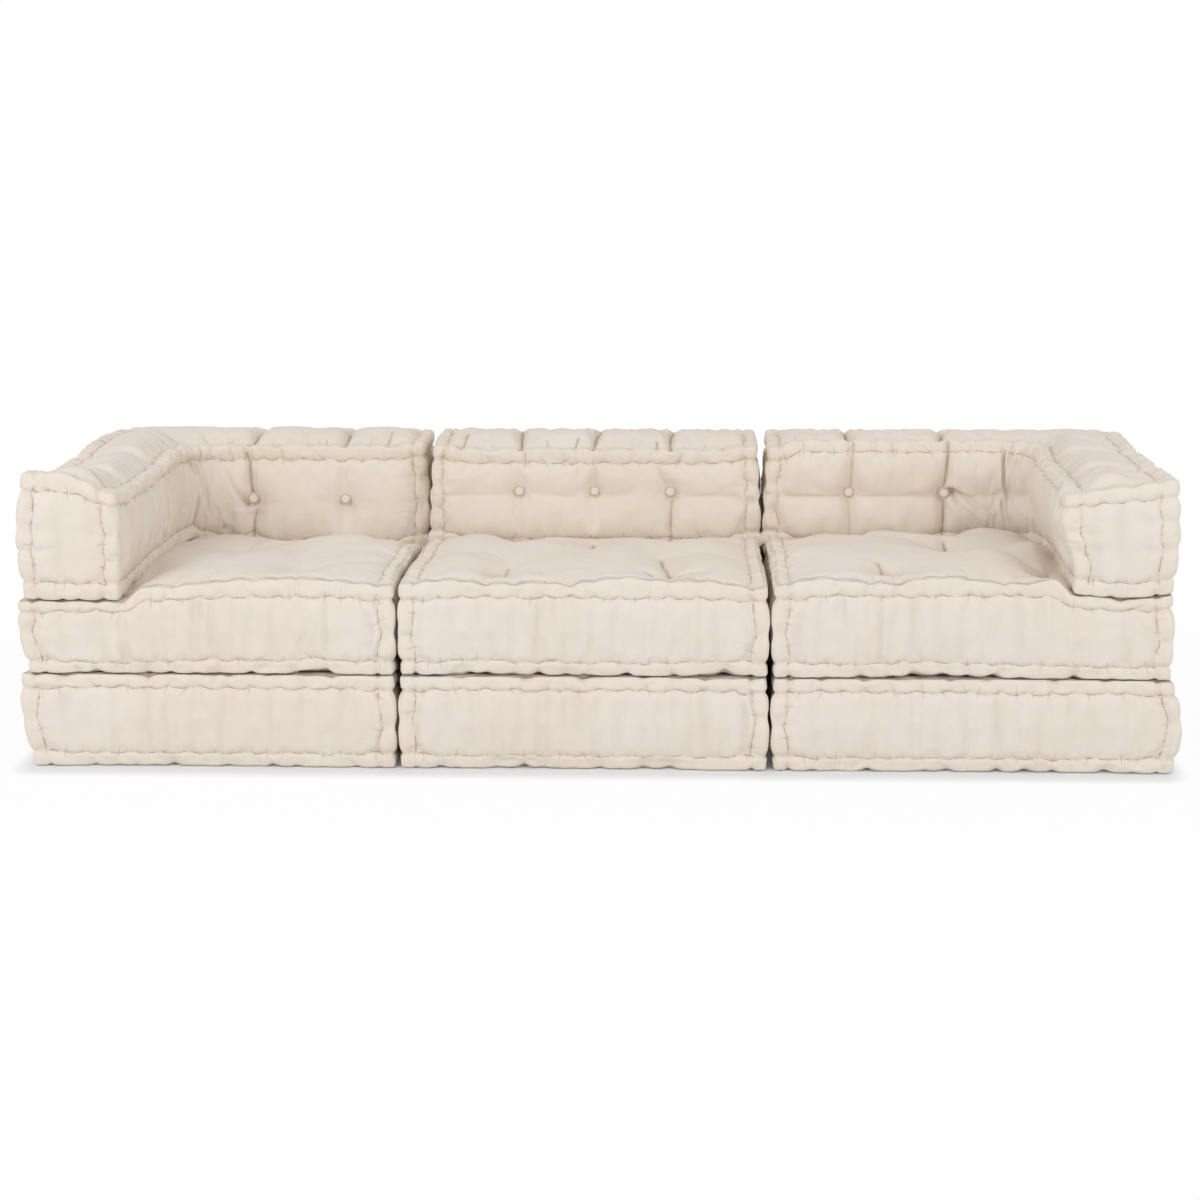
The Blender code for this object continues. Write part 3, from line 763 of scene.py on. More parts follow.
# %% Tufts and creases
BOWL_SHARE = 0.55
PIT_SHARE = 0.45
CREASE_PULLS = 0.03
CREASE_HOLD = 0.9
# How wide a crease's painted shade is, by the crease's width
CREASE_SHADE = 0.6
# How deep and wide a knot's dimple is, and how much of it is held
KNOT_DIMPLE = (0.009, 0.015, 0.004)


def pull_point(cushion, axis, high, spot, depth, width, held):
    """Draw a panel in at a spot of its face, softly over a width, and hold the middle of it."""
    others = others_of(axis)
    away = np.hypot(*(cushion.box[:, other] - spot[other] for other in others))
    away[~cushion.face(axis, high)] = 1.0
    beyond = np.maximum(away - held, 0) / width
    bowl, pit = np.exp(-(beyond**2)), np.exp(-((beyond * 3) ** 2))
    sink = depth * (BOWL_SHARE * bowl + PIT_SHARE * pit)
    cushion.place[:, axis] -= np.where(away < 1.0, cushion.out[:, axis] * sink, 0.0)
    tied = away <= max(held, away.min() + TINY)
    cushion.hold[tied] = 1.0


def draw_crease(cushion, axis, high, start, end, depth, width, dark):
    """Draw a panel in along a line of its face, on a row of vertices moved onto it, and paint its
    shade.
    """
    sides = others_of(axis)
    start, end = np.array(start), np.array(end)
    run = int(np.abs(end - start).argmax())
    across = 1 - run
    lines = cushion.lines[sides[across]]
    row = np.abs(lines - (start + end)[across] / 2).argmin()
    flat = cushion.box[:, sides]
    share = (flat[:, run] - start[run]) / (end - start)[run]
    beyond = np.maximum(np.maximum(-share, share - 1), 0) * abs((end - start)[run])
    beside = flat[:, across] - lines[row]
    face = cushion.face(axis, high)
    aside = start[across] + np.clip(share, 0, 1) * (end - start)[across] - lines[row]
    aside = aside * corner_bell(beside, CREASE_PULLS, beyond, CREASE_PULLS)
    cushion.place[:, sides[across]] += np.where(face, aside, 0.0)
    sink = depth * bell(np.hypot(beside, beyond), width)
    cushion.place[:, axis] -= cushion.out[:, axis] * np.where(face, sink, 0.0)
    tied = face & (cushion.cell[:, sides[across]] == row) & (beyond < TINY)
    cushion.hold[tied] = np.maximum(cushion.hold[tied], CREASE_HOLD)
    # Painted shade along the crease, as dark as asked
    shade = dark * bell(np.hypot(beside, beyond), CREASE_SHADE * width)
    cushion.seam = np.maximum(cushion.seam, np.where(face, shade, 0.0))


print("a knot's dimple is", round(KNOT_DIMPLE[0] * 1000), "mm deep")

# %% [markdown]
# ## Base mattresses
#
# A base lies on the floor with a seat on top of it, so its underside and its top are held flat.
# Only its rolls and its four sides are free to swell.

# %% Start the bases
MODULES = ("left", "centre", "right")
FIRST_SEED = {"base": 11, "seat": 31, "back": 51}
MATTRESS_LUMP = 0.22
SIDE_DRAW = 0.004
LEVEL_MARGIN = 0.020
FRONT_STEP = 0.006
FRONT_STEP_RUN = 0.05
cushions = {}


def start_mattress(kind, module, seed, tufts=()):
    """A mattress's grid in the place of its CAD cover, with stitched rolls round its edges."""
    name = f"{module}_{kind}"
    low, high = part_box(name + "_cover")
    core_low, core_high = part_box(name + "_core")
    height = core_low.z - low.z + core_high.z - low.z
    size = (high.x - low.x, high.y - low.y, height)
    lines = [edge_lines(0.0, length, step=MATTRESS_STEP) for length in size]
    for axis, places in enumerate(np.array(tufts).T):
        tied = np.unique(places - low[axis])
        lines[axis] = through(lines[axis], tied, tied)
    cushion = Cushion(name + "_mattress", name, lines, seed)
    corner = np.array(low)
    cushion.world = lambda points: points + corner
    cushion.low = corner
    if kind == "seat":
        cushion.saw_edges = ((1, False, True), (1, True, True))
    roll_edges(cushion)
    lump(cushion, MATTRESS_LUMP)
    sew_edges(cushion)
    draw_in(cushion, SIDE_DRAW)
    return cushion


def hold_level(cushion, high, margin=LEVEL_MARGIN, where=True):
    """Hold the top or the underside flat inside its rolls, or some part of it."""
    flat = cushion.face(2, high) & where & (cushion.near[:, :2].min(axis=1) > ROLL + margin)
    cushion.place[flat, 2] = (cushion.size[2] if high else 0.0) - cushion.drop[flat]
    cushion.hold[flat] = 1.0


def step_front(cushion, share):
    """Raise the front of a cushion a little, by a share of each vertex: bases are fullest there."""
    near_front = bell(cushion.box[:, 1], FRONT_STEP_RUN)
    cushion.place[:, 2] += FRONT_STEP * near_front * share


for number, module in enumerate(MODULES):
    base = start_mattress("base", module, FIRST_SEED["base"] + number)
    hold_level(base, False)
    hold_level(base, True)
    step_front(base, (base.box[:, 2] / base.size[2]) ** 2)
    cushions[base.body] = base
print("bases", {name: len(cushion.mesh.vertices) for name, cushion in cushions.items()})

# %% [markdown]
# ## Seat mattresses
#
# A seat is crowned where people sit, up to its front edge, and pressed flat under its bolster. The
# front end of an arm sinks into it. Five tufts of twine pull its top down, and in front of the
# bolster the top is squeezed up into soft waves. The front roll lifts off the base here and there,
# which leaves the dark gaps that the photograph shows.

# %% Sizes of the seats
BOLSTER_DEPTH = 0.18
ARM_HALF = BOLSTER_DEPTH / 2
SEAT_FOOT_MARGIN = 0.05
FOOT_RUN = 0.10
# The crown, and the share of it at the front edge and near the bolster
SEAT_CROWN = {"left": (0.020, 0.65, -1.0), "centre": (0.022, 0.65, 0.5), "right": (0.026, 0.9, 0.9)}
SIDE_SHARE = 0.75
CROWN_RUN = 0.11
CROWN_RUN_AT_BOLSTER = 0.034
CROWN_RUN_AT_ARM = {"left": 0.30, "right": 0.05}
BACK_SHARE_RUN = 0.25
TUFT_DEPTH = 0.019
SEAT_WAVES = 0.35
SEAT_WAVE_LENGTH = 0.20
LIFT_RUN = 0.05
LIFTED_FRONT = {
    "left": ((-0.54, 0.06, 0.010),),
    "centre": ((-0.22, 0.12, 0.007), (0.24, 0.11, 0.008)),
    "right": ((0.64, 0.18, 0.008),),
}
# Soft valleys of a seat's top: start and end in plan, and depth
VALLEYS = {
    "left": (
        ((-0.68, 0.12), (-0.573, -0.26), 0.010), ((-0.573, -0.26), (-0.42, -0.16), 0.008),
        ((-0.86, 0.03), (-0.60, -0.06), 0.008), ((-0.52, 0.13), (-0.44, 0.0), 0.008),
    ),
    "centre": (((0.135, 0.11), (0.135, -0.26), 0.006), ((-0.185, 0.11), (-0.185, -0.26), 0.004)),
    "right": (((0.50, 0.10), (0.708, -0.025), 0.008), ((0.708, -0.025), (0.868, -0.285), 0.010)),
}
VALLEY_WIDTH = 0.028
# Dips in front of a bolster: their places, how far they are in front of it, and depth, width and hold
BACK_DIPS = {"left": (), "centre": (-0.185, 0.135), "right": (0.513, 0.713)}
BACK_DIP_GAP = 0.040
BACK_DIP_PULL = (0.024, 0.042, 0.004)
ARM_SIDE = {"left": -1, "centre": 0, "right": 1}
SOFA_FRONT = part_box("centre_base_cover")[0].y
ARM_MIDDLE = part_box("right_base_cover")[1].x - ARM_HALF
CORNER_ENDS = 0.76
CORNER_LEAD = 0.05
CORNER_FADE = 0.08
SINK_RUN = 0.05
BACK_SINK = {"left": 0.038, "centre": 0.018, "right": 0.014}
CORNER_SINK = {"left": 0.036, "right": 0.010}
# How far an arm has sunk in, and how much more at its front (left) or along its middle (right)
ARM_SINK = {"left": (0.012, 0.016), "right": (0.004, 0.008)}
REAR_LESS = 0.6
OUTER_LESS = 0.7
SAG_REACH = 0.17
SIDE_MEET = 0.005
# How much of a side, from the rear, meets its neighbour, and over which run that fades
MEET_LENGTH = 0.25
MEET_RUN = 0.1
MEET_CORNER = (0.016, 0.03)
NEAR_SIDE = 0.05
print("crowns of the seats", {module: crown[0] for module, crown in SEAT_CROWN.items()})


# %% Shapes of a seat
def sunk_share(gap):
    """1 under a bolster, and fading with the distance outside it."""
    return 1 - smooth_step(gap / SINK_RUN)


def bolster_sink(module, places):
    """How far a bolster has sunk into its seat, at places of the plan."""
    x, y = places[:, 0], places[:, 1]
    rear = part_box(f"{module}_base_cover")[1].y
    back = BACK_SINK[module] * sunk_share(rear - BOLSTER_DEPTH - y)
    back = back * (1 - REAR_LESS * smooth_step((y - rear + BOLSTER_DEPTH) / BOLSTER_DEPTH))
    if module == "centre":
        return back
    corner = CORNER_SINK[module] / BACK_SINK[module]
    in_corner = smooth_step((np.abs(x) - CORNER_ENDS + CORNER_LEAD) / CORNER_FADE)
    back = back * (1 - (1 - corner) * in_corner)
    from_middle = (np.abs(x) - ARM_MIDDLE) / ARM_HALF
    back = back * (1 - OUTER_LESS * smooth_step((from_middle + 1) / 2))
    ahead = bell(np.maximum(y - SOFA_FRONT, 0), SAG_REACH)
    sink, more = ARM_SINK[module]
    if module == "left":
        arm = sink + more * ahead
    else:
        arm = (sink + more * np.clip(1 - from_middle**2, 0, 1)) * ahead
    return np.maximum(back, arm * sunk_share(-from_middle * ARM_HALF - ARM_HALF))


def crown_seat(seat, module):
    """Raise a seat's top between its open edges and its bolster, and sink it under the bolster."""
    x, y, z = seat.box.T
    crown, front_share, back_share = SEAT_CROWN[module]
    from_back = seat.size[1] - BOLSTER_DEPTH - y
    rise = crown * smooth_step(from_back / CROWN_RUN_AT_BOLSTER)
    rise *= back_share + (1 - back_share) * smooth_step(from_back / BACK_SHARE_RUN)
    rise *= front_share + (1 - front_share) * smooth_step((y - ROLL) / CROWN_RUN)
    under = from_back < -LEVEL_MARGIN
    for way, distance in ((-1, x), (1, seat.size[0] - x)):
        if ARM_SIDE[module] == way:
            rise *= smooth_step((distance - BOLSTER_DEPTH) / CROWN_RUN_AT_ARM[module])
            under |= distance < BOLSTER_DEPTH - LEVEL_MARGIN
        else:
            rise *= SIDE_SHARE + (1 - SIDE_SHARE) * smooth_step((distance - ROLL) / CROWN_RUN)
    waves = 1 + SEAT_WAVES * slow_waves(seat.box, seat.rng, SEAT_WAVE_LENGTH)
    rise = np.where(seat.face(2, True), rise * waves, rise)
    seat.drop = bolster_sink(module, seat.world(seat.box))
    seat.place[:, 2] += rise * (z / seat.size[2]) ** 1.5 - seat.drop * (z / seat.size[2]) ** 1.2
    hold_level(seat, True, where=under)
    return under


def line_gap(flat, start, end):
    """How far points of a plane are from a line between two points, and their share along it."""
    start, way = np.array(start), np.array(end) - np.array(start)
    share = np.clip((flat - start) @ way / (way @ way), 0, 1)
    return np.linalg.norm(flat - start - share[:, None] * way, axis=1), share


def press_valleys(seat, module):
    """Press soft valleys into a seat's top between its tufts."""
    top = np.where(seat.face(2, True), inner_share(seat, 2, PANEL_RUN), 0.0)
    for start, end, depth in VALLEYS[module]:
        gap, _ = line_gap(seat.box[:, :2] + seat.low[:2], start, end)
        seat.place[:, 2] -= depth * top * bell(gap, VALLEY_WIDTH)


def foot_share(cushion):
    """1 at a cushion's foot, and fading upwards."""
    return np.clip(1 - cushion.box[:, 2] / FOOT_RUN, 0, 1)


def lift_front(seat, module):
    """Raise the front of a seat's underside at a few places, and its bottom roll with it."""
    deep = bell(seat.box[:, 1], LIFT_RUN) * foot_share(seat)
    for middle, width, height in LIFTED_FRONT[module]:
        bump = bell(seat.box[:, 0] + seat.low[0] - middle, width * 0.6)
        seat.place[:, 2] += height * bump * deep


def reach_out(seat, module):
    """Fill the top corners of the sides that face another module, so that they meet at the rear."""
    x, y, z = seat.box.T
    wide, tall = MEET_CORNER
    rear = smooth_step((y - seat.size[1] + MEET_LENGTH) / MEET_RUN)
    corner = corner_bell(seat.near[:, 0], wide, seat.size[2] - z, tall) * rear
    for way, side in ((-1, x), (1, seat.size[0] - x)):
        if ARM_SIDE[module] != way:
            seat.place[:, 0] += way * SIDE_MEET * corner * (side < NEAR_SIDE)


def tie_middle(name):
    """The middle of a tie's box."""
    low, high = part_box(name)
    return np.array((low + high) / 2)


print("the arms' middles are", round(ARM_MIDDLE, 3), "m from the sofa's middle")

# %% Start the seats
# The tufts that show as a star, and how far their creases reach; the others have short ones
STARS = {("centre", 2): 0.062, ("right", 1): 0.050, ("right", 3): 0.030}
SHORT_STAR = 0.016
STAR_ARMS = 7
STAR_CREASE = (0.0065, 0.009)
# How dark the painted shade of a star's creases is
STAR_PAINTED_SHADE = 0.95
# The slit behind a tuft: where it ends from there, its usual length, depth and width
SLITS = {("centre", 2): (-0.014, 0.15), ("centre", 3): (0.002, 0.09), ("right", 1): (-0.012, 0.06)}
SLIT_LENGTH = 0.046
SLIT_DEPTH = 0.0080
SLIT_WIDTH = 0.011
TUFT_WIDTH = 0.026
TUFT_HOLD = 0.004
PIT_RADIUS = 0.008
# How clear the tufts of a seat are: how deep their slits are and how dark their painted shade is
TUFT_CLEARNESS = {"left": 0.5, "centre": 1.0, "right": 1.0}


def tie_tuft(seat, module, count, spot):
    """Pull a tuft down, with creases and painted shade round it, unless it is under the bolster."""
    top = seat.face(2, True)
    away = np.hypot(*(seat.box[:, :2] - spot[:2]).T)
    nearest = (away + ~top).argmin()
    depth = seat.place[nearest, 2] - seat.size[2] + TUFT_DEPTH
    if not seat.under_bolster[nearest]:
        plain = TUFT_CLEARNESS[module]
        turns = np.arange(STAR_ARMS) + seat.rng.uniform(-0.35, 0.35, STAR_ARMS)
        reaches = STARS.get((module, count), SHORT_STAR) * seat.rng.uniform(0.45, 1.0, STAR_ARMS)
        for turn, reach in zip(turns * 2 * math.pi / STAR_ARMS, reaches):
            end = spot[:2] + reach * np.array((math.cos(turn), math.sin(turn)))
            draw_crease(seat, 2, True, spot[:2], end, *STAR_CREASE, STAR_PAINTED_SHADE * plain)
        sway = seat.rng.uniform(-0.012, 0.012)
        slit = spot[:2] + np.array(SLITS.get((module, count), (sway, SLIT_LENGTH)))
        draw_crease(seat, 2, True, spot[:2], slit, SLIT_DEPTH * plain, SLIT_WIDTH, plain)
        pull_point(seat, 2, True, spot, depth, TUFT_WIDTH, TUFT_HOLD)
        # The tuft's pit is painted dark, as the shade in it.
        seat.seam[top & (away < PIT_RADIUS)] = plain
    pull_point(seat, 2, False, spot, *KNOT_DIMPLE)


for number, module in enumerate(MODULES):
    ties = [tie_middle(f"{module}_seat_tufting_tie_{tie}") for tie in range(1, 6)]
    seat = start_mattress("seat", module, FIRST_SEED["seat"] + number, [tie[:2] for tie in ties])
    seat.under_bolster = crown_seat(seat, module)
    hold_level(seat, False, SEAT_FOOT_MARGIN)
    step_front(seat, foot_share(seat))
    lift_front(seat, module)
    press_valleys(seat, module)
    reach_out(seat, module)
    for count, tie in enumerate(ties, 1):
        tie_tuft(seat, module, count, tie - seat.low)
    back_line = seat.size[1] - BOLSTER_DEPTH - BACK_DIP_GAP
    for dip in BACK_DIPS[module]:
        pull_point(seat, 2, True, (dip - seat.low[0], back_line, 0), *BACK_DIP_PULL)
    cushions[seat.body] = seat
print("seats", {name: len(cushion.mesh.vertices) for name, cushion in cushions.items()})

# %% [markdown]
# ## Bolsters
#
# The centre bolster is a straight bar. A corner bolster is the same bar laid along an L, with a
# round inside corner and a square outside one. Ties pinch the bar from top to bottom, so that its
# top swells into pillows, and buttons draw its front in, with creases that run up and down to
# the rolls.

# %% The bar and its L
INSIDE_RADIUS = 0.10
CORNER_REACH = BOLSTER_DEPTH + INSIDE_RADIUS
CORNER_RUN = (INSIDE_RADIUS + ARM_HALF) * math.pi / 2
SIDE_LEG = 0.75
REAR_LEG = 0.70
SIDE_RUN = SIDE_LEG - CORNER_REACH
L_LENGTH = SIDE_RUN + CORNER_RUN + REAR_LEG - CORNER_REACH
HOLLOW = SIDE_RUN + CORNER_RUN / 2


def lay_round_corner(points):
    """Points of a straight bar, laid along the L: up the side leg, round, and along the rear leg."""
    along = points[:, 0]
    share = np.clip((along - SIDE_RUN) / CORNER_RUN, 0, 1)
    angle = math.pi - share * math.pi / 2
    before = np.minimum(along - SIDE_RUN, 0)
    after = np.maximum(along - SIDE_RUN - CORNER_RUN, 0)
    inner_x = CORNER_REACH + INSIDE_RADIUS * np.cos(angle) + after
    inner_y = SIDE_RUN + INSIDE_RADIUS * np.sin(angle) + before
    outer_x = CORNER_REACH * np.maximum(2 * share - 1, 0) + after
    outer_y = SIDE_RUN + CORNER_REACH * np.minimum(2 * share, 1) + before
    depth = points[:, 1] / BOLSTER_DEPTH
    x = inner_x + (outer_x - inner_x) * depth
    y = inner_y + (outer_y - inner_y) * depth
    return np.stack([x, y, points[:, 2]], axis=1)


low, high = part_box("centre_back_core")
cover_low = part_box("centre_back_cover")[0]
BOLSTER_HEIGHT = round(low.z - cover_low.z + high.z - cover_low.z, 4)
BOLSTER_FOOT = cover_low.z
left_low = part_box("left_base_cover")[0]
right_low, right_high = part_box("right_base_cover")
centre_low, centre_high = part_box("centre_base_cover")


def centre_world(points):
    """The centre bar, along X at the rear of its seat."""
    return points + np.array((centre_low.x, centre_high.y - BOLSTER_DEPTH, BOLSTER_FOOT))


def left_world(points):
    """The left L: its side leg is the arm, and its rear leg the back."""
    return lay_round_corner(points) + np.array((left_low.x, left_low.y, BOLSTER_FOOT))


def right_world(points):
    """The right L is the left one turned a quarter: its side leg is the back."""
    laid = lay_round_corner(points)
    x = right_low.x + laid[:, 1]
    y = right_high.y - laid[:, 0]
    return np.stack([x, y, laid[:, 2] + BOLSTER_FOOT], axis=1)


print("L is", round(L_LENGTH, 3), "m along, bolster height", BOLSTER_HEIGHT)

# %% Sizes of the bolsters
BOLSTER_LUMP = 0.18
BOLSTER_ROUND = (0.001, 0.006)
PINCH_DEPTH = 0.012
PINCH_WIDTH = 0.008
PILLOW_RUN = 0.026
ARM_START_RUN = 0.05
ARM_END_RUN = 0.1
ARM_OUTER_RUN = 0.05
PULL_RUN = 0.028
HALVING_WIDTH = 0.020
PROW_RUN = 0.10
BUTTON_DIMPLE = (0.0125, 0.022, 0.0095)
LINE_CREASE = (0.0025, 0.010)
BUTTON_CREASE_WIDTH = 0.010
CORNER_STOPS = (0.0, SIDE_RUN, SIDE_RUN + CORNER_RUN, L_LENGTH)
CORNER_PINCHES = (0.18, 0.38, L_LENGTH - 0.38, L_LENGTH - 0.18)
FRONT_TOP_ROLL = (0, False, True)
FRONT_FOOT_ROLL = (0, False, False)
LEFT_BUTTONS = {1: L_LENGTH - 0.18, 2: L_LENGTH - 0.38}
RIGHT_BUTTONS = {1: 0.18, 2: 0.38}
# Buttons by their place along the bar, the rise of the top, of its rear edge and of the front, how
# much a line at the buttons' level halves the front, and how the rolls at the front's top and foot
# are turned, set back and moved out, and between which places along the bar. The grid is fine
# between two places. The arm runs between two places, and has a further rise of its pillows and a
# pull at its pinches
BARS = {
    "centre": {
        "world": centre_world, "stops": (0.0, 0.70), "pinches": (0.19, 0.35, 0.51),
        "buttons": {1: 0.19, 2: 0.35, 3: 0.51}, "rise": (0.010, 0.012, 0.005), "halved": 0.5,
        "top_roll": (-5, 0.0, -0.008, *EVERYWHERE), "foot_roll": (40, 0.006, 0.003, *EVERYWHERE),
        "fine": (0.0, 0.0), "arm": (0.0, 0.0, 0.0, 0.0),
    },
    "left": {
        "world": left_world, "stops": CORNER_STOPS, "pinches": CORNER_PINCHES,
        "buttons": LEFT_BUTTONS, "rise": (0.010, 0.004, 0.005), "halved": 0.0,
        "top_roll": (-5, 0.0, -0.009, *EVERYWHERE),
        "foot_roll": (40, 0.006, 0.003, LEFT_BUTTONS[2], EVERYWHERE[1]),
        "fine": (HOLLOW - 0.25, HOLLOW + 0.18), "arm": (-0.05, HOLLOW, 0.008, 0.012),
    },
    "right": {
        "world": right_world, "stops": CORNER_STOPS, "pinches": CORNER_PINCHES,
        "buttons": RIGHT_BUTTONS, "rise": (0.011, 0.013, 0.008), "halved": 0.8,
        "top_roll": (35, 0.004, 0.010, *EVERYWHERE),
        "foot_roll": (40, 0.006, 0.003, EVERYWHERE[0], RIGHT_BUTTONS[2]),
        "fine": (HOLLOW - 0.24, HOLLOW + 0.12), "arm": (HOLLOW, L_LENGTH + 0.1, 0.008, 0.008),
    },
}
# How far an arm's top sags, the share of that at its outer side, and how far its front stands up
ARM_TOP = {"left": (0.018, 1.0, 0.030), "right": (0.014, 0.3, 0.0)}
# Faint lines between the buttons: starts and ends along the bar, and darkness of painted shade
LEVEL_LINES = {
    "centre": ((0.05, 0.176, 0.35), (0.23, 0.30, 0.4), (0.37, 0.42, 0.4), (0.525, 0.65, 0.5)),
    "left": (),
    "right": ((0.045, 0.166, 0.75), (0.195, 0.366, 0.6), (0.40, 0.47, 0.3)),
}
# Creases from each button: steps along and up from it, depth, and darkness of painted shade
CREASES = {
    ("centre", 1): (((0.001, -0.013), (0.003, -0.075), 0.004, 0.55),),
    ("centre", 2): (((0.0, 0.013), (0.002, 0.066), 0.004, 0.6),),
    ("centre", 3): (
        ((0.0, -0.013), (0.001, -0.075), 0.007, 0.95), ((-0.004, 0.013), (-0.024, 0.06), 0.005, 0.7),
    ),
    ("left", 1): (),
    ("left", 2): (
        ((-0.001, 0.013), (-0.012, 0.110), 0.012, 1.0), ((0.0, -0.013), (-0.002, -0.06), 0.010, 1.0),
    ),
    ("right", 1): (
        ((0.002, 0.013), (0.008, 0.09), 0.008, 0.9), ((0.0, -0.013), (0.002, -0.075), 0.008, 0.8),
    ),
    ("right", 2): (
        ((0.0, 0.013), (0.008, 0.09), 0.009, 1.0), ((0.0, -0.013), (-0.003, -0.075), 0.009, 1.0),
    ),
}
ARM_EDGE_RISE = 0.006
RIGHT_ARM_LEAN = 0.022
FRONT_LEAN = 0.010
FRONT_LEAN_RUN = 0.2
SAG_FROM = 0.25
SAG_RUN = 0.30
PROW_SHARE = 0.6
PUCKER_SPACING = 0.062
PUCKER_LEAD = 0.018
PUCKER_WIDTH = 0.007
PINCH_CLEARANCE = 0.022
DENT_SPACING = 0.075
END_MEET = 0.0036
CORNER_MEET = 0.006
END_PART = 0.0055
END_RUN = 0.06
FACING_ENDS = {"left": ((1, L_LENGTH),), "centre": ((-1, 0.0), (1, 0.70)), "right": ((-1, 0.0),)}
print("creases at the buttons", sum(len(creases) for creases in CREASES.values()))


# %% Shapes of a bolster
def swell_bar(bar, plan, level):
    """Raise pillows on the top and the front of a bar between its pinches, and its rear edge."""
    x, y, z = bar.box.T
    top_rise, rear_rise, front_rise = plan["rise"]
    nearest = np.min([np.abs(x - pinch) for pinch in plan["pinches"]], axis=0)
    swell = smooth_step(np.minimum(nearest, bar.near[:, 0] - ROLL) / PILLOW_RUN)
    arm_start, arm_end, arm_rise, arm_pull = plan["arm"]
    on_arm = smooth_step((x - arm_start) / ARM_START_RUN) * smooth_step((arm_end - x) / ARM_END_RUN)
    top_rise = top_rise + arm_rise * on_arm
    pull = arm_pull * on_arm * bell(nearest, PULL_RUN)
    bar.place[:, 2] -= pull * (y / BOLSTER_DEPTH) * (z / BOLSTER_HEIGHT) ** 2
    outer_run = PANEL_RUN + ARM_OUTER_RUN * on_arm
    top = smooth_step((y - ROLL) / PANEL_RUN) * smooth_step((BOLSTER_DEPTH - ROLL - y) / outer_run)
    front = smooth_step((bar.near[:, 2] - ROLL) / PANEL_RUN)
    front = front * (1 - plan["halved"] * bell(z - level, HALVING_WIDTH))
    bar.place[:, 2] += np.where(bar.face(2, True), top_rise * swell * top, 0.0)
    rear_rise = rear_rise + ARM_EDGE_RISE * on_arm
    bar.place[:, 2] += rear_rise * (y / BOLSTER_DEPTH) * (z / BOLSTER_HEIGHT) ** 2
    bar.place[:, 1] -= np.where(bar.face(1, False), front_rise * swell * front, 0.0)


def pucker_top(bar, plan):
    """Short creases from a bar's top seams, and dents in its front roll, with painted shade."""
    for seam, way in ((ROLL, 1), (BOLSTER_DEPTH - ROLL, -1)):
        spots = np.arange(0.055, bar.size[0] - 0.05, PUCKER_SPACING)
        for spot in spots + bar.rng.uniform(-0.015, 0.015, len(spots)):
            reach, lean = bar.rng.uniform(0.008, 0.050), bar.rng.uniform(-0.018, 0.018)
            depth, dark = bar.rng.uniform(0.002, 0.006), bar.rng.uniform(0.3, 1.0)
            if np.abs(spot - np.array(plan["pinches"])).min() > PINCH_CLEARANCE:
                start, end = (spot, seam - way * PUCKER_LEAD), (spot + lean, seam + way * reach)
                draw_crease(bar, 2, True, start, end, depth, PUCKER_WIDTH, dark)
    spots = np.arange(0.06, bar.size[0] - 0.05, DENT_SPACING)
    for spot in spots + bar.rng.uniform(-0.03, 0.03, len(spots)):
        lean, depth = bar.rng.uniform(-0.010, 0.010), bar.rng.uniform(0.002, 0.0045)
        start, end = (spot, BOLSTER_HEIGHT - 0.004), (spot + lean, BOLSTER_HEIGHT - ROLL - 0.008)
        draw_crease(bar, 1, False, start, end, depth, PUCKER_WIDTH, bar.rng.uniform(0.3, 0.85))


def sink_bolster(bar, module):
    """Sink a bolster's foot into the seat, and let an arm's top sag."""
    places = bar.world(bar.box)
    height = bar.box[:, 2] / BOLSTER_HEIGHT
    inner = 1 - bar.box[:, 1] / BOLSTER_DEPTH
    behind = np.maximum(places[:, 1] - SOFA_FRONT, 0)
    bar.drop = bolster_sink(module, places)
    bar.place[:, 2] -= bar.drop * (1 - height) ** 1.3
    if module in ARM_TOP:
        sag, outer_share, prow = ARM_TOP[module]
        sagging = 1 - smooth_step((behind - SAG_FROM) / SAG_RUN)
        change = prow * bell(behind, PROW_RUN) * smooth_step((1 - inner) / PROW_SHARE)
        change -= sag * sagging * (outer_share + (1 - outer_share) * inner)
        bar.place[:, 2] += change * height**1.5


def part_ends(bar, module):
    """Draw the ends that face another module apart at the top, and let them meet at the foot."""
    height = bar.box[:, 2] / BOLSTER_HEIGHT
    gain = END_MEET * (1 - smooth_step(height / 0.25)) - END_PART * smooth_step((height - 0.1) / 0.6)
    wide, tall = MEET_CORNER
    for way, end in FACING_ENDS[module]:
        from_end = np.abs(bar.box[:, 0] - end)
        corner = corner_bell(from_end, wide, bar.box[:, 2], tall)
        near_end = 1 - smooth_step(from_end / END_RUN)
        bar.place[:, 0] += way * (gain * near_end + CORNER_MEET * corner)


def lean_arm(bar):
    """Lean the inner face of the right arm inwards."""
    behind = np.maximum(bar.world(bar.box)[:, 1] - SOFA_FRONT, 0)
    inner = 1 - bar.box[:, 1] / BOLSTER_DEPTH
    upper = smooth_step((bar.box[:, 2] / BOLSTER_HEIGHT - 0.25) / 0.5)
    on_arm = smooth_step((bar.box[:, 0] - SIDE_RUN - 0.6 * CORNER_RUN) / 0.12)
    front = FRONT_LEAN * bell(behind, FRONT_LEAN_RUN)
    bar.place[:, 1] -= inner * on_arm * (RIGHT_ARM_LEAN * upper + front)


print("the right arm leans in by", round(RIGHT_ARM_LEAN * 1000), "mm")

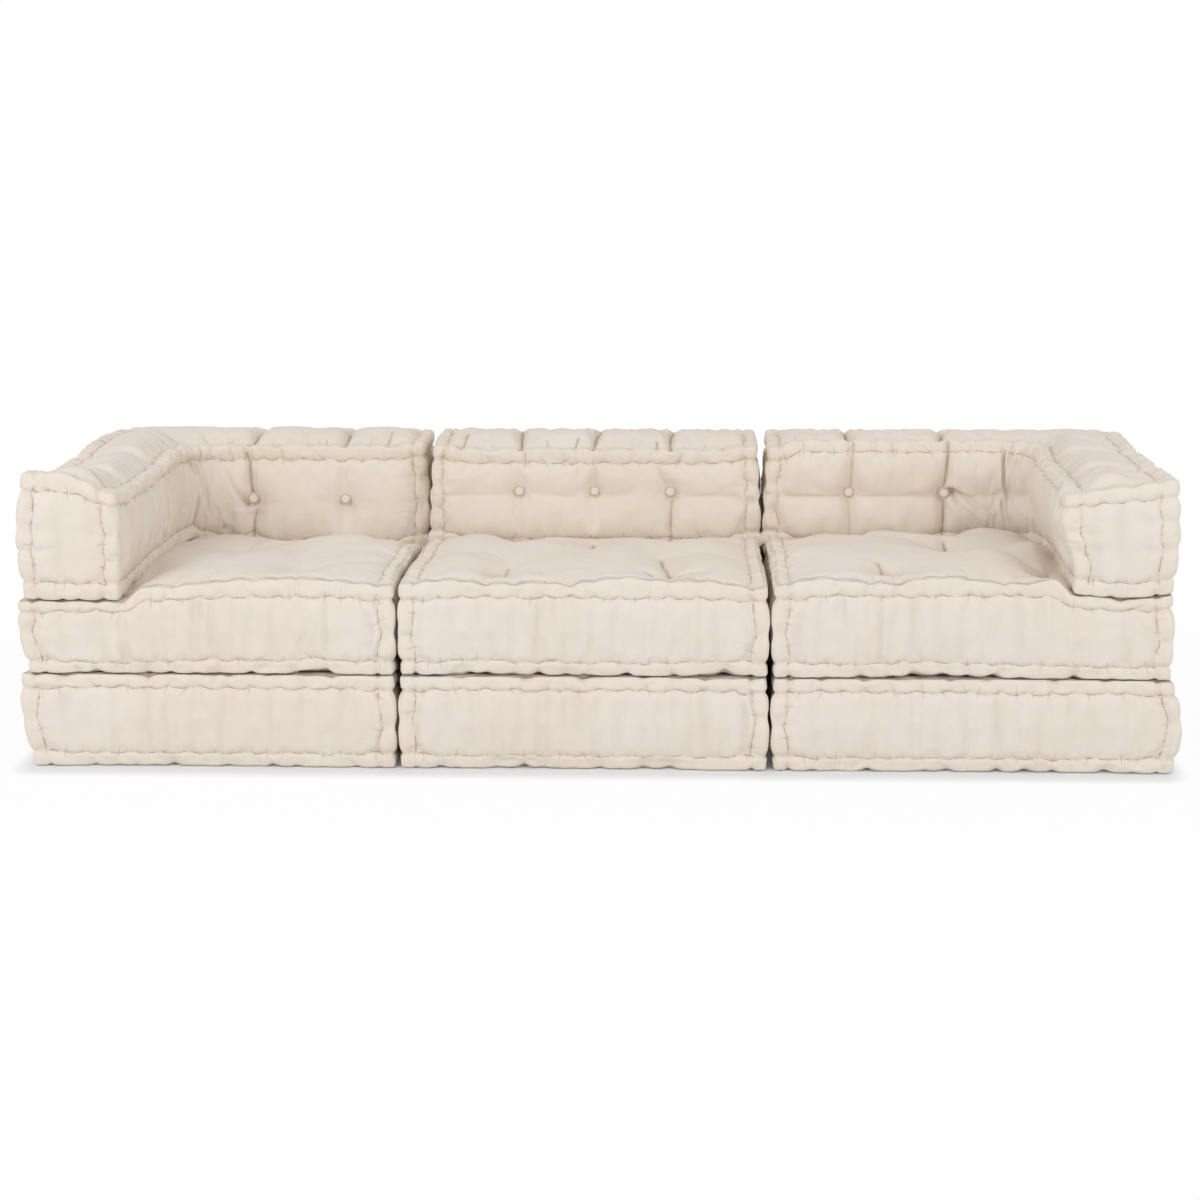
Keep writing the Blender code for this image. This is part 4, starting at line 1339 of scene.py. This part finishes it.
# %% Start the bolsters
for number, (module, plan) in enumerate(BARS.items()):
    level = tie_middle(f"{module}_back_button_1")[2] - BOLSTER_FOOT
    fine_places = np.concatenate([plan["pinches"], np.arange(*plan["fine"], FINE_REACH)])
    lengths = through(edge_lines(*plan["stops"], step=BOLSTER_STEP), plan["pinches"], fine_places)
    depths = edge_lines(0.0, BOLSTER_DEPTH, step=BOLSTER_STEP)
    heights = through(edge_lines(0.0, BOLSTER_HEIGHT, step=BOLSTER_STEP), [level], [level])
    seed = FIRST_SEED["back"] + number
    bar = Cushion(f"{module}_bolster", f"{module}_back", [lengths, depths, heights], seed)
    bar.world = plan["world"]
    bar.low = np.array((0, 0, BOLSTER_FOOT))
    bar.corner_round = BOLSTER_ROUND
    bar.saw_edges = ((0, True, True),)
    roll_edges(bar)
    lump(bar, BOLSTER_LUMP)
    bar.turned_rolls[FRONT_TOP_ROLL] = plan["top_roll"]
    bar.turned_rolls[FRONT_FOOT_ROLL] = plan["foot_roll"]
    sew_edges(bar)
    swell_bar(bar, plan, level)
    if module == "right":
        lean_arm(bar)
    part_ends(bar, module)
    sink_bolster(bar, module)
    hold_level(bar, False)
    for pinch in plan["pinches"]:
        lean = bar.rng.uniform(-0.010, 0.010)
        start, end = (pinch - lean, ROLL * 0.4), (pinch + lean, BOLSTER_DEPTH - ROLL * 0.3)
        # The pinch's crease gets its full painted shade.
        draw_crease(bar, 2, True, start, end, PINCH_DEPTH, PINCH_WIDTH, 1.0)
    pucker_top(bar, plan)
    for first, last, dark in LEVEL_LINES[module]:
        sway = bar.rng.uniform(-0.004, 0.004)
        start, end = (first, level + sway), (last, level - sway)
        draw_crease(bar, 1, False, start, end, *LINE_CREASE, dark)
    for button, along in plan["buttons"].items():
        for start, end, depth, dark in CREASES[module, button]:
            first = (along + start[0], level + start[1])
            last = (along + end[0], level + end[1])
            draw_crease(bar, 1, False, first, last, depth, BUTTON_CREASE_WIDTH, dark)
        pull_point(bar, 1, False, (along, 0, level), *BUTTON_DIMPLE)
        pull_point(bar, 1, True, (along, 0, level), *KNOT_DIMPLE)
    cushions[bar.body] = bar
print("bolsters", {name: len(cushion.mesh.vertices) for name, cushion in cushions.items()})

# %% [markdown]
# ## Stuffing by simulation
#
# Now the cloth is blown up. Each cushion gets a Cloth modifier with inner pressure and no gravity.
# Its threads are pinned, and the cloth is let out by some percent, most in the rolls, as gathered
# cloth is, so that it puckers between the stitches. All nine run together, frame by frame, and the
# result is written into the meshes, so no modifier is left.

# %% Settings of the cloth
FRAMES = 20
LET_OUT = 0.05
PRESSURE = 2.0
GATHER_REACH = 0.06
WEIGHT_STEPS = 20
OUTER_FROM = 0.90
OUTER_RUN = 0.16
CLOTH = {
    "quality": 5, "mass": 0.3, "tension_stiffness": 15, "compression_stiffness": 15,
    "shear_stiffness": 5, "bending_stiffness": 0.5, "air_damping": 1, "use_pressure": True,
    "uniform_pressure_force": PRESSURE, "shrink_min": -LET_OUT, "shrink_max": 0.0,
    "vertex_group_shrink": "taut", "vertex_group_mass": "held",
}
# How far a cushion's outer side stands out at its foot, its middle and its top
OUTER_PUSH = {
    "left_base": (-0.005, 0.011, 0.018),
    "left_seat": (-0.001, 0.012, 0.018),
    "left_back": (0.008, 0.013, 0.008),
    "right_base": (0.008, 0.019, 0.006),
    "right_back": (0.0, 0.004, 0.004),
}
REAR_PUSH = {"right_back": 0.018}
REAR_PUSH_RUN = 0.2


def push_outer_side(cushion, places):
    """Move the outer side of a stack's cushion: loose cushions never line up."""
    foot, middle, top = OUTER_PUSH.get(cushion.body, (0.0, 0.0, 0.0))
    height = cushion.box[:, 2] / cushion.size[2]
    push = foot * (1 - height) * (1 - 2 * height) + top * height * (2 * height - 1)
    push = push + middle * 4 * height * (1 - height)
    from_rear = places[:, 1].max() - places[:, 1]
    push = push + REAR_PUSH.get(cushion.body, 0.0) * bell(from_rear, REAR_PUSH_RUN) * height
    share = smooth_step((np.abs(places[:, 0]) - OUTER_FROM) / OUTER_RUN)
    places[:, 0] += np.sign(places[:, 0]) * push * share
    return places


def weight_group(piece, name, weights):
    """A vertex group with weights in even steps."""
    group = piece.vertex_groups.new(name=name)
    steps = np.rint(weights * WEIGHT_STEPS).astype(int)
    for step in np.unique(steps[steps > 0]):
        group.add(np.nonzero(steps == step)[0].tolist(), step / WEIGHT_STEPS, "REPLACE")


def add_cloth(cushion):
    """Give a cushion's mesh the settings of a gathered cotton cover."""
    inside = np.sort(cushion.near, axis=1)[:, 1] - ROLL
    taut = np.where(inside > TINY, 0.5 + 0.35 * smooth_step(inside / GATHER_REACH), 0.0)
    weight_group(cushion.piece, "held", cushion.hold)
    weight_group(cushion.piece, "taut", taut)
    cloth = cushion.piece.modifiers.new("cloth", "CLOTH")
    cloth.point_cache.frame_start = 1
    cloth.point_cache.frame_end = FRAMES + 1
    cloth.collision_settings.use_collision = False
    cloth.collision_settings.use_self_collision = False
    cloth.settings.effector_weights.gravity = 0
    for name, value in CLOTH.items():
        setattr(cloth.settings, name, value)


def read_normals(mesh):
    """A mesh's vertex normals as rows."""
    flat = np.empty(len(mesh.vertices) * 3, np.float32)
    mesh.vertices.foreach_get("normal", flat)
    return flat.reshape(-1, 3).astype(float)


print("the cloth is let out by", round(LET_OUT * 100), "percent")

# %% Simulate the cloth
for cushion in cushions.values():
    cushion.start = push_outer_side(cushion, cushion.world(cushion.place))
    write_places(cushion.mesh, cushion.start)
    cushion.normal = read_normals(cushion.mesh)
    cushion.result = cushion.start
for cushion in cushions.values():
    add_cloth(cushion)
for number in range(1, FRAMES + 1):
    scene.frame_set(number)
graph = bpy.context.evaluated_depsgraph_get()
for cushion in cushions.values():
    blown = cushion.piece.evaluated_get(graph).to_mesh()
    cushion.result = read_places(blown)
    cushion.piece.evaluated_get(graph).to_mesh_clear()
for cushion in cushions.values():
    cushion.piece.modifiers.clear()
    cushion.piece.vertex_groups.clear()
scene.frame_set(1)
for name, cushion in cushions.items():
    swell = ((cushion.result - cushion.start) * cushion.normal).sum(axis=1)
    print(name, "swelled by", np.round(np.percentile(swell, (1, 50, 99)) * 1000, 1), "mm")

# %% [markdown]
# ## Settling
#
# Pressure swells a wide panel more than real stuffing does. The slow part of the swell is found by
# averaging each vertex with its neighbours many times, and capped, while the quick part, which is
# the wrinkles, stays. Then soft folds that the hands of the maker left are pressed into the panels,
# with painted shade in them, and each cushion is pressed against what it lies on.

# %% Cap the swell
SMOOTH_ROUNDS = 90
CAP_ROUNDS = 8
SIDE_CAP = 0.0045
CAPS = {"base": (SIDE_CAP, SIDE_CAP), "seat": (0.009, SIDE_CAP), "back": (0.010, 0.008)}


def averaged(values, edges, rounds):
    """Average each vertex's value with its neighbours', many times over."""
    one, two = edges.T
    size = len(values)
    count = np.bincount(one, minlength=size) + np.bincount(two, minlength=size)
    for _ in range(rounds):
        total = np.bincount(one, values[two], size) + np.bincount(two, values[one], size)
        values = 0.5 * values + 0.5 * total / count
    return values


def settle(cushion, top, front):
    """Cap the slow swell of each face, and keep the wrinkles."""
    edges = np.empty(len(cushion.mesh.edges) * 2, int)
    cushion.mesh.edges.foreach_get("vertices", edges)
    edges = edges.reshape(-1, 2)
    caps = np.full(len(cushion.box), SIDE_CAP)
    caps[cushion.face(1, False)] = front
    caps[cushion.face(2, True)] = top
    swell = ((cushion.result - cushion.start) * cushion.normal).sum(axis=1)
    slow = averaged(swell, edges, SMOOTH_ROUNDS)
    cap = averaged(caps, edges, CAP_ROUNDS)
    change = cap * np.tanh(slow / cap) - slow
    cushion.result = cushion.result + change[:, None] * cushion.normal
    write_places(cushion.mesh, cushion.result)
    cushion.normal = read_normals(cushion.mesh)


for name, cushion in cushions.items():
    settle(cushion, *CAPS[name.split("_")[1]])
print("swell capped")

# %% Press folds into the panels
FOLD_SPACING = 0.055
FOLD_DEPTH = 0.0055
# How dark the painted shade of a fold is
FOLD_SHADE = 0.55
FOLD_RUN = 0.006
LINE_WIDTH = 0.0062
LINE_DEEPER = 1.35
# The ridge beside a fold: its height, its place and its width, by the fold's own
SIDE_RIDGE = (0.6, 2.2, 1.5)
LINE_RIDGE = (0.45, 2.0, 1.2)


def fold_section(beside, ridge, place, width):
    """A valley with a ridge beside it."""
    return np.exp(-(beside**2)) - ridge * np.exp(-(((beside - place) / width) ** 2))


def fold_side(cushion, axis, high, depth):
    """Upright folds on a side panel, strongest near one of its seams, with painted shade."""
    along = 1 - axis
    rng = cushion.rng
    u, v = cushion.box[:, along], cushion.box[:, 2] / cushion.size[2]
    total, shade = np.zeros((2, len(u)))
    place = rng.uniform(0.5, 1.2) * FOLD_SPACING
    while place < cushion.size[along]:
        width = rng.uniform(0.006, 0.011)
        middle, reach = rng.choice((0.15, 0.5, 0.85)), rng.uniform(0.25, 0.6)
        beside = (u - place - rng.uniform(-0.014, 0.014) * (v - 0.5)) / width
        strength = rng.uniform(0.2, 1.0) * bell(v - middle, reach)
        total -= depth * strength * fold_section(beside, *SIDE_RIDGE)
        shade = np.maximum(shade, strength * np.exp(-(beside**2)))
        place += rng.uniform(0.5, 1.6) * FOLD_SPACING
    share = np.where(cushion.face(axis, high), inner_share(cushion, axis, FOLD_RUN), 0.0)
    cushion.result = cushion.result + (total * share)[:, None] * cushion.normal
    # Painted shade in the folds' valleys
    cushion.seam = np.maximum(cushion.seam, FOLD_SHADE * np.cbrt(shade) * share)


def fold_line(cushion, axis, high, start, end, depth, width, dark=0.0):
    """One soft fold along a line of a face, deepest at its start, with painted shade by dark."""
    sides = others_of(axis)
    gap, share = line_gap(cushion.box[:, sides], start, end)
    gap = gap / width
    face = cushion.face(axis, high)
    push = np.where(face, depth * (1 - 0.75 * share) * fold_section(gap, *LINE_RIDGE), 0.0)
    push *= inner_share(cushion, axis, FOLD_RUN)
    cushion.result = cushion.result - push[:, None] * cushion.normal
    # Painted shade along the fold, as dark as asked, fading along it
    shade = np.where(face & (gap < 1), dark * (1 - share) * (1 - gap), 0.0)
    cushion.seam = np.maximum(cushion.seam, shade)


# Folds of each L's front, as places along the bar from the middle of its hollow, heights, and depth
BAR_FOLDS = {
    "left": (
        (-0.040, 0.180, -0.008, 0.110, 0.008), (-0.030, 0.035, -0.008, 0.110, 0.008),
        (-0.010, 0.165, 0.006, 0.080, 0.005), (-0.235, 0.172, -0.205, 0.115, 0.006),
        (0.175, 0.078, 0.105, 0.152, 0.006), (-0.300, 0.055, -0.240, 0.030, 0.006),
        (0.100, 0.040, 0.140, 0.030, 0.005), (-0.330, 0.060, -0.325, 0.110, 0.003),
    ),
    "right": (
        (-0.095, 0.180, -0.048, 0.045, 0.009), (-0.045, 0.180, -0.078, 0.130, 0.007),
        (-0.225, 0.105, -0.165, 0.038, 0.009), (-0.220, 0.110, -0.100, 0.036, 0.008),
        (-0.085, 0.085, -0.060, 0.035, 0.006), (0.110, 0.060, 0.065, 0.036, 0.006),
        (0.060, 0.165, 0.120, 0.150, 0.004),
    ),
    "centre": (),
}
for name, cushion in cushions.items():
    module, kind = name.split("_")
    depth = FOLD_DEPTH if kind != "back" else FOLD_DEPTH * 0.5
    for axis, high in ((0, False), (0, True), (1, False), (1, True)):
        if kind != "back" or axis == 0:
            fold_side(cushion, axis, high, depth)
    if kind == "back":
        for first, low, last, high, depth in BAR_FOLDS[module]:
            start, end = (HOLLOW + first, low), (HOLLOW + last, high)
            # Folds of an L's front get full painted shade.
            fold_line(cushion, 1, False, start, end, depth * LINE_DEEPER, LINE_WIDTH, 1.0)
print("folds pressed in")

# %% Press the cushions together
PRESSED_BY = 0.003
KNEE = 0.0015
LOWER_PART = 0.05


def press(height, plane, above=True):
    """Push heights a little towards a plane, and keep them on their side of it with a soft knee."""
    gap = (height - plane if above else plane - height) - PRESSED_BY
    soft_gap = np.where(gap > KNEE, gap, KNEE * np.exp(np.minimum(gap / KNEE, 1) - 1))
    return plane + soft_gap if above else plane - soft_gap


for name, cushion in cushions.items():
    kind = name.split("_")[1]
    foot, head = cushion.low[2], cushion.low[2] + cushion.size[2]
    front_step = FRONT_STEP * bell(cushion.box[:, 1], FRONT_STEP_RUN)
    z = cushion.result[:, 2]
    lower = cushion.box[:, 2] < LOWER_PART
    if kind == "base":
        z = np.where(lower, press(z, foot), press(z, head + front_step, above=False))
    elif kind == "seat":
        pressed = press(z, head - cushion.drop, above=False)
        z = np.where(lower, press(z, foot + front_step), np.where(cushion.under_bolster, pressed, z))
    else:
        z = np.where(lower, press(z, foot - cushion.drop), z)
    cushion.result[:, 2] = z
    write_places(cushion.mesh, cushion.result)
    print(name, np.round(cushion.result.min(axis=0), 4), np.round(cushion.result.max(axis=0), 4))

# %% [markdown]
# ## Finishing the cushions
#
# The weave needs its map: each face's own two directions in metres, so that yarns run straight
# along the panels. The seams need theirs: along the nearest edge, and in from it. The painted shade
# of deep creases, folds and pits, and the upright panels, go on the mesh as values of each vertex.
# One level of subdivision rounds the cells.

# %% Maps, values and material
# The axes that the weave's map takes along and across a face, by the face's own axis
WEAVE_ALONG = np.array((1, 0, 0))
WEAVE_ACROSS = np.array((2, 2, 1))
# How far the edges of a cushion, and the cushions, lie apart in the seams' map
EDGE_SHIFT = 1.7
SEED_SHIFT = 0.618
# How much of the upright folds a back shows
BACK_FOLDS = 0.4


def lay_map(cushion, name, along, across):
    """A UV map from two values of each corner."""
    layer = cushion.mesh.uv_layers.new(name=name)
    layer.data.foreach_set("uv", np.stack([along, across], axis=2).astype(np.float32).ravel())


def take(values, axis):
    """One of three values of each corner, by the axis of its face."""
    return np.take_along_axis(values, axis[:, None, None], axis=2)[:, :, 0]


def lay_maps(cushion):
    """The maps of the weave and of the edges, from the flat box."""
    corners = np.empty(len(cushion.mesh.loops), int)
    cushion.mesh.loops.foreach_get("vertex_index", corners)
    quads = corners.reshape(-1, 4)
    rows = np.arange(len(quads))
    axis = cushion.on[quads].all(axis=1).argmax(axis=1)
    flat, near = cushion.box[quads], cushion.near[quads]
    lay_map(cushion, "weave", take(flat, WEAVE_ALONG[axis]), take(flat, WEAVE_ACROSS[axis]))
    middle = near.mean(axis=1)
    middle[rows, axis] = cushion.size.max()
    inward = middle.argmin(axis=1)
    out = cushion.out[quads].mean(axis=1) > 0
    edge_number = 4 * axis + 2 * out[rows, axis] + out[rows, inward]
    shift = EDGE_SHIFT * edge_number + SEED_SHIFT * cushion.seed
    along = take(flat, 3 - axis - inward) + shift[:, None]
    lay_map(cushion, "edge", along, take(near, inward))


def lay_value(cushion, name, values):
    """A value of each vertex."""
    attribute = cushion.mesh.attributes.new(name, "FLOAT", "POINT")
    attribute.data.foreach_set("value", values.astype(np.float32))


for name, cushion in cushions.items():
    lay_maps(cushion)
    # The painted shade of creases, folds and pits goes on as a value of each vertex.
    lay_value(cushion, "seam", cushion.seam)
    upright = cushion.on[:, :2].any(axis=1) * (BACK_FOLDS if name.endswith("back") else 1.0)
    lay_value(cushion, "upright", upright)
    cushion.mesh.shade_smooth()
    cushion.mesh.materials.append(ticking)
    rounder = cushion.piece.modifiers.new("round_cells", "SUBSURF")
    rounder.levels = rounder.render_levels = 1
    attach(cushion.piece, name)
    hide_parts(name + "_cover", name + "_core")
print(len(cushions), "cushions dressed")

# %% [markdown]
# ## Covered buttons
#
# Each button is a small disc under the same cotton, with a rim where the cloth is drawn over its
# edge. It starts as a sphere, is flattened, and gets a groove inside the rim, which is painted
# dark as the shade in it. It sits in the dimple that its twine has pulled into the back.

# %% Buttons
button_cotton = cotton_cloth("button_cloth", False)
BUTTONS = {"centre": 3, "left": 2, "right": 2}
BUTTON_FULLER = 1.07
BUTTON_SEAT = 0.011
GROOVE_PLACE = 0.84
GROOVE_WIDTH = 0.09
GROOVE_DEPTH = 0.30
BUTTON_SUNK = 0.0045


def add_piece(name, bm, material, body):
    """An object from a bmesh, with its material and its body."""
    piece = new_object(name, bm)
    piece.data.shade_smooth()
    piece.data.materials.append(material)
    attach(piece, body)
    return piece


def button_back(bar, low, high):
    """How far forward the cloth lies behind a button."""
    middle = np.array((low + high) / 2)
    face = bar.result[bar.face(1, False)]
    near = np.hypot(face[:, 0] - middle[0], face[:, 2] - middle[2]) < BUTTON_SEAT
    return face[near, 1].min()


def groove(wide):
    """1 in the middle of the groove inside a button's rim, and 0 away from it."""
    return math.exp(-(((wide - GROOVE_PLACE) / GROOVE_WIDTH) ** 2))


def round_button(low, high):
    """A flat disc with a rim, in a box, with its face to the front."""
    bm = bmesh.new()
    bmesh.ops.create_uvsphere(bm, u_segments=36, v_segments=26, radius=1.0)
    for vertex in bm.verts:
        flat = vertex.co.xy.length
        wide = flat**0.5
        dip = groove(wide) * GROOVE_DEPTH
        face = math.copysign(abs(vertex.co.z) ** 0.75, vertex.co.z)
        spread = wide / flat if flat > TINY else 0.0
        vertex.co = (vertex.co.x * spread, vertex.co.y * spread, face - dip * max(face, 0))
    size = (high - low) / 2
    scale = Matrix.Diagonal((size.x * BUTTON_FULLER, size.z * BUTTON_FULLER, size.y, 1.0))
    place = Matrix.Translation((low + high) / 2) @ Matrix.Rotation(math.pi / 2, 4, "X") @ scale
    bmesh.ops.transform(bm, matrix=place, verts=bm.verts)
    return bm


for module, count in BUTTONS.items():
    for number in range(1, count + 1):
        node = f"{module}_back_button_{number}"
        low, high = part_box(node)
        body = f"{module}_back"
        ahead = Vector((0, button_back(cushions[body], low, high) + BUTTON_SUNK - high.y, 0))
        low, high = low + ahead, high + ahead
        bm = round_button(low, high)
        button = add_piece(f"{module}_button_{number}", bm, button_cotton, body)
        layer = button.data.uv_layers.new(name="weave")
        for loop in button.data.loops:
            place = button.data.vertices[loop.vertex_index].co
            layer.data[loop.index].uv = (place.x, place.z)
        middle, radius = (low + high) / 2, (high.x - low.x) / 2 * BUTTON_FULLER
        # Where the painted shade of the groove goes
        rim = button.data.attributes.new("rim", "FLOAT", "POINT")
        for vertex, value in zip(button.data.vertices, rim.data):
            value.value = groove((vertex.co - middle).xz.length / radius) * (vertex.co.y < middle.y)
        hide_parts(node)
print("buttons", sum(BUTTONS.values()))

# %% [markdown]
# ## Twine
#
# The ties are linen twine. Each runs straight through its cushion from one dimple to another, where
# it is knotted: two crossed loops and two cut ends. The hand stitches along the seams are short
# bits of the same twine that cross from the roll to the panel.

# %% Linen twine
TWINE_COLOUR = (0.76, 0.68, 0.55, 1.0)
TWINE_SHADE = (0.60, 0.51, 0.37, 1.0)
STRAND_HEIGHT = 0.0003
TWINE_RADIUS = 0.0012
STITCH_LENGTH = 0.0062
STITCH_RADIUS = 0.0006
KNOT_SUNK = 0.0012
PINCH_REACH = 0.017
KNOT_LOOP = (0.0046, 0.0021, 0.0021, 1.0)
KNOT_LOOP_TURNS = (0.6, 2.2)
KNOT_END_TURNS = (1.3, 3.9)
KNOT_END_REACH = 0.009
KNOT_END_RISE = 0.0015
KNOT_END_RADIUS = TWINE_RADIUS * 0.8

linen, flow = new_material("linen_twine")
place = flow.node("ShaderNodeTexCoord", output="Object")
strands = place.noise(900.0)
colour = flow.mix(TWINE_SHADE, TWINE_COLOUR, strands.step(0.35, 0.65))
bump = (strands * STRAND_HEIGHT).bump(0.6)
shader_inputs = {"Base Color": colour, "Roughness": 0.9, "Normal": bump}
flow.node("ShaderNodeBsdfPrincipled", inputs=shader_inputs).to_surface()
print("twine is", round(TWINE_RADIUS * 2000, 1), "mm thick")


# %% Ties and stitches
def bit_of_twine(bm, start, end, radius, sides=8):
    """A straight bit of twine between two points."""
    start, end = Vector(start), Vector(end)
    turn = (end - start).to_track_quat("Z", "Y").to_matrix().to_4x4()
    place = Matrix.Translation((start + end) / 2) @ turn
    depth = (end - start).length
    bmesh.ops.create_cone(
        bm, cap_ends=True, segments=sides, radius1=radius, radius2=radius, depth=depth, matrix=place
    )


def knot(bm, place, out):
    """Two crossed loops and two cut ends, lying on a surface that faces out."""
    turn = Vector(out).to_track_quat("Z", "Y").to_matrix().to_4x4()
    for angle in KNOT_LOOP_TURNS:
        loop = Matrix.Rotation(angle, 4, "Z") @ Matrix.Diagonal(KNOT_LOOP)
        matrix = Matrix.Translation(place) @ turn @ loop
        bmesh.ops.create_icosphere(bm, subdivisions=2, radius=1.0, matrix=matrix)
    for angle in KNOT_END_TURNS:
        across, along = math.cos(angle) * KNOT_END_REACH, math.sin(angle) * KNOT_END_REACH
        aside = turn @ Vector((across, along, KNOT_END_RISE))
        bit_of_twine(bm, place, Vector(place) + aside, KNOT_END_RADIUS, 6)


def surface_place(cushion, axis, high, spot):
    """The place on a cushion's face that is nearest to a straight line through a spot."""
    others = others_of(axis)
    face = np.nonzero(cushion.face(axis, high))[0]
    gaps = np.linalg.norm(cushion.result[face][:, others] - spot[others], axis=1)
    return cushion.result[face[gaps.argmin()]]


def valley_place(cushion, spot):
    """The lowest place of a cushion's top close to a spot: the bottom of a pinch."""
    top = cushion.result[cushion.face(2, True)]
    close = np.hypot(*(top[:, :2] - spot[:2]).T) < PINCH_REACH
    return top[close][top[close][:, 2].argmin()]


def lay_tie(bm, cushion, node):
    """A tie through a cushion, with a knot where it comes out."""
    low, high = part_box(node)
    spot = np.array((low + high) / 2)
    axis = 1 if "_button_tie_" in node else 2
    start = surface_place(cushion, axis, False, spot)
    if "_pinch_tie_" in node:
        end = valley_place(cushion, spot)
    else:
        end = surface_place(cushion, axis, True, spot)
    bit_of_twine(bm, start, end, TWINE_RADIUS)
    out = Vector(end - start).normalized()
    knot(bm, Vector(end) - out * KNOT_SUNK, out)
    if axis == 2:
        knot(bm, Vector(start) + out * KNOT_SUNK, -out)


def lay_stitches(cushion):
    """Short bits of twine over the seams."""
    bm = bmesh.new()
    normals = read_normals(cushion.mesh)
    for roll_side, tied, panel_side in cushion.stitches:
        way = Vector(cushion.result[panel_side] - cushion.result[roll_side])
        turn = way.to_track_quat("Z", "Y").to_matrix().to_4x4()
        size = Matrix.Diagonal((STITCH_RADIUS, STITCH_RADIUS, STITCH_LENGTH / 2, 1.0))
        place = Matrix.Translation(cushion.result[tied] + normals[tied] * STITCH_RADIUS)
        bmesh.ops.create_icosphere(bm, subdivisions=1, radius=1.0, matrix=place @ turn @ size)
    return bm


# The ties of each seat and of each back: how many of each kind
CORNER_TIES = {"button_tie": 2, "side_pinch_tie": 2, "rear_pinch_tie": 2}
SEAT_TIES = {"tufting_tie": 5}
BACK_TIES = {"left": CORNER_TIES, "centre": {"button_tie": 3, "pinch_tie": 3}, "right": CORNER_TIES}
for module in MODULES:
    plans = {f"{module}_seat": SEAT_TIES, f"{module}_back": BACK_TIES[module]}
    for body, kinds in plans.items():
        ties = [
            f"{body}_{kind}_{number}" for kind, count in kinds.items() for number in range(1, count + 1)
        ]
        bm = bmesh.new()
        for node in ties:
            lay_tie(bm, cushions[body], node)
        twine = add_piece(f"{body}_twine", bm, linen, body)
        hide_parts(*ties)
for body, cushion in cushions.items():
    add_piece(f"{body}_stitches", lay_stitches(cushion), linen, body)
print("stitches", sum(len(cushion.stitches) for cushion in cushions.values()))
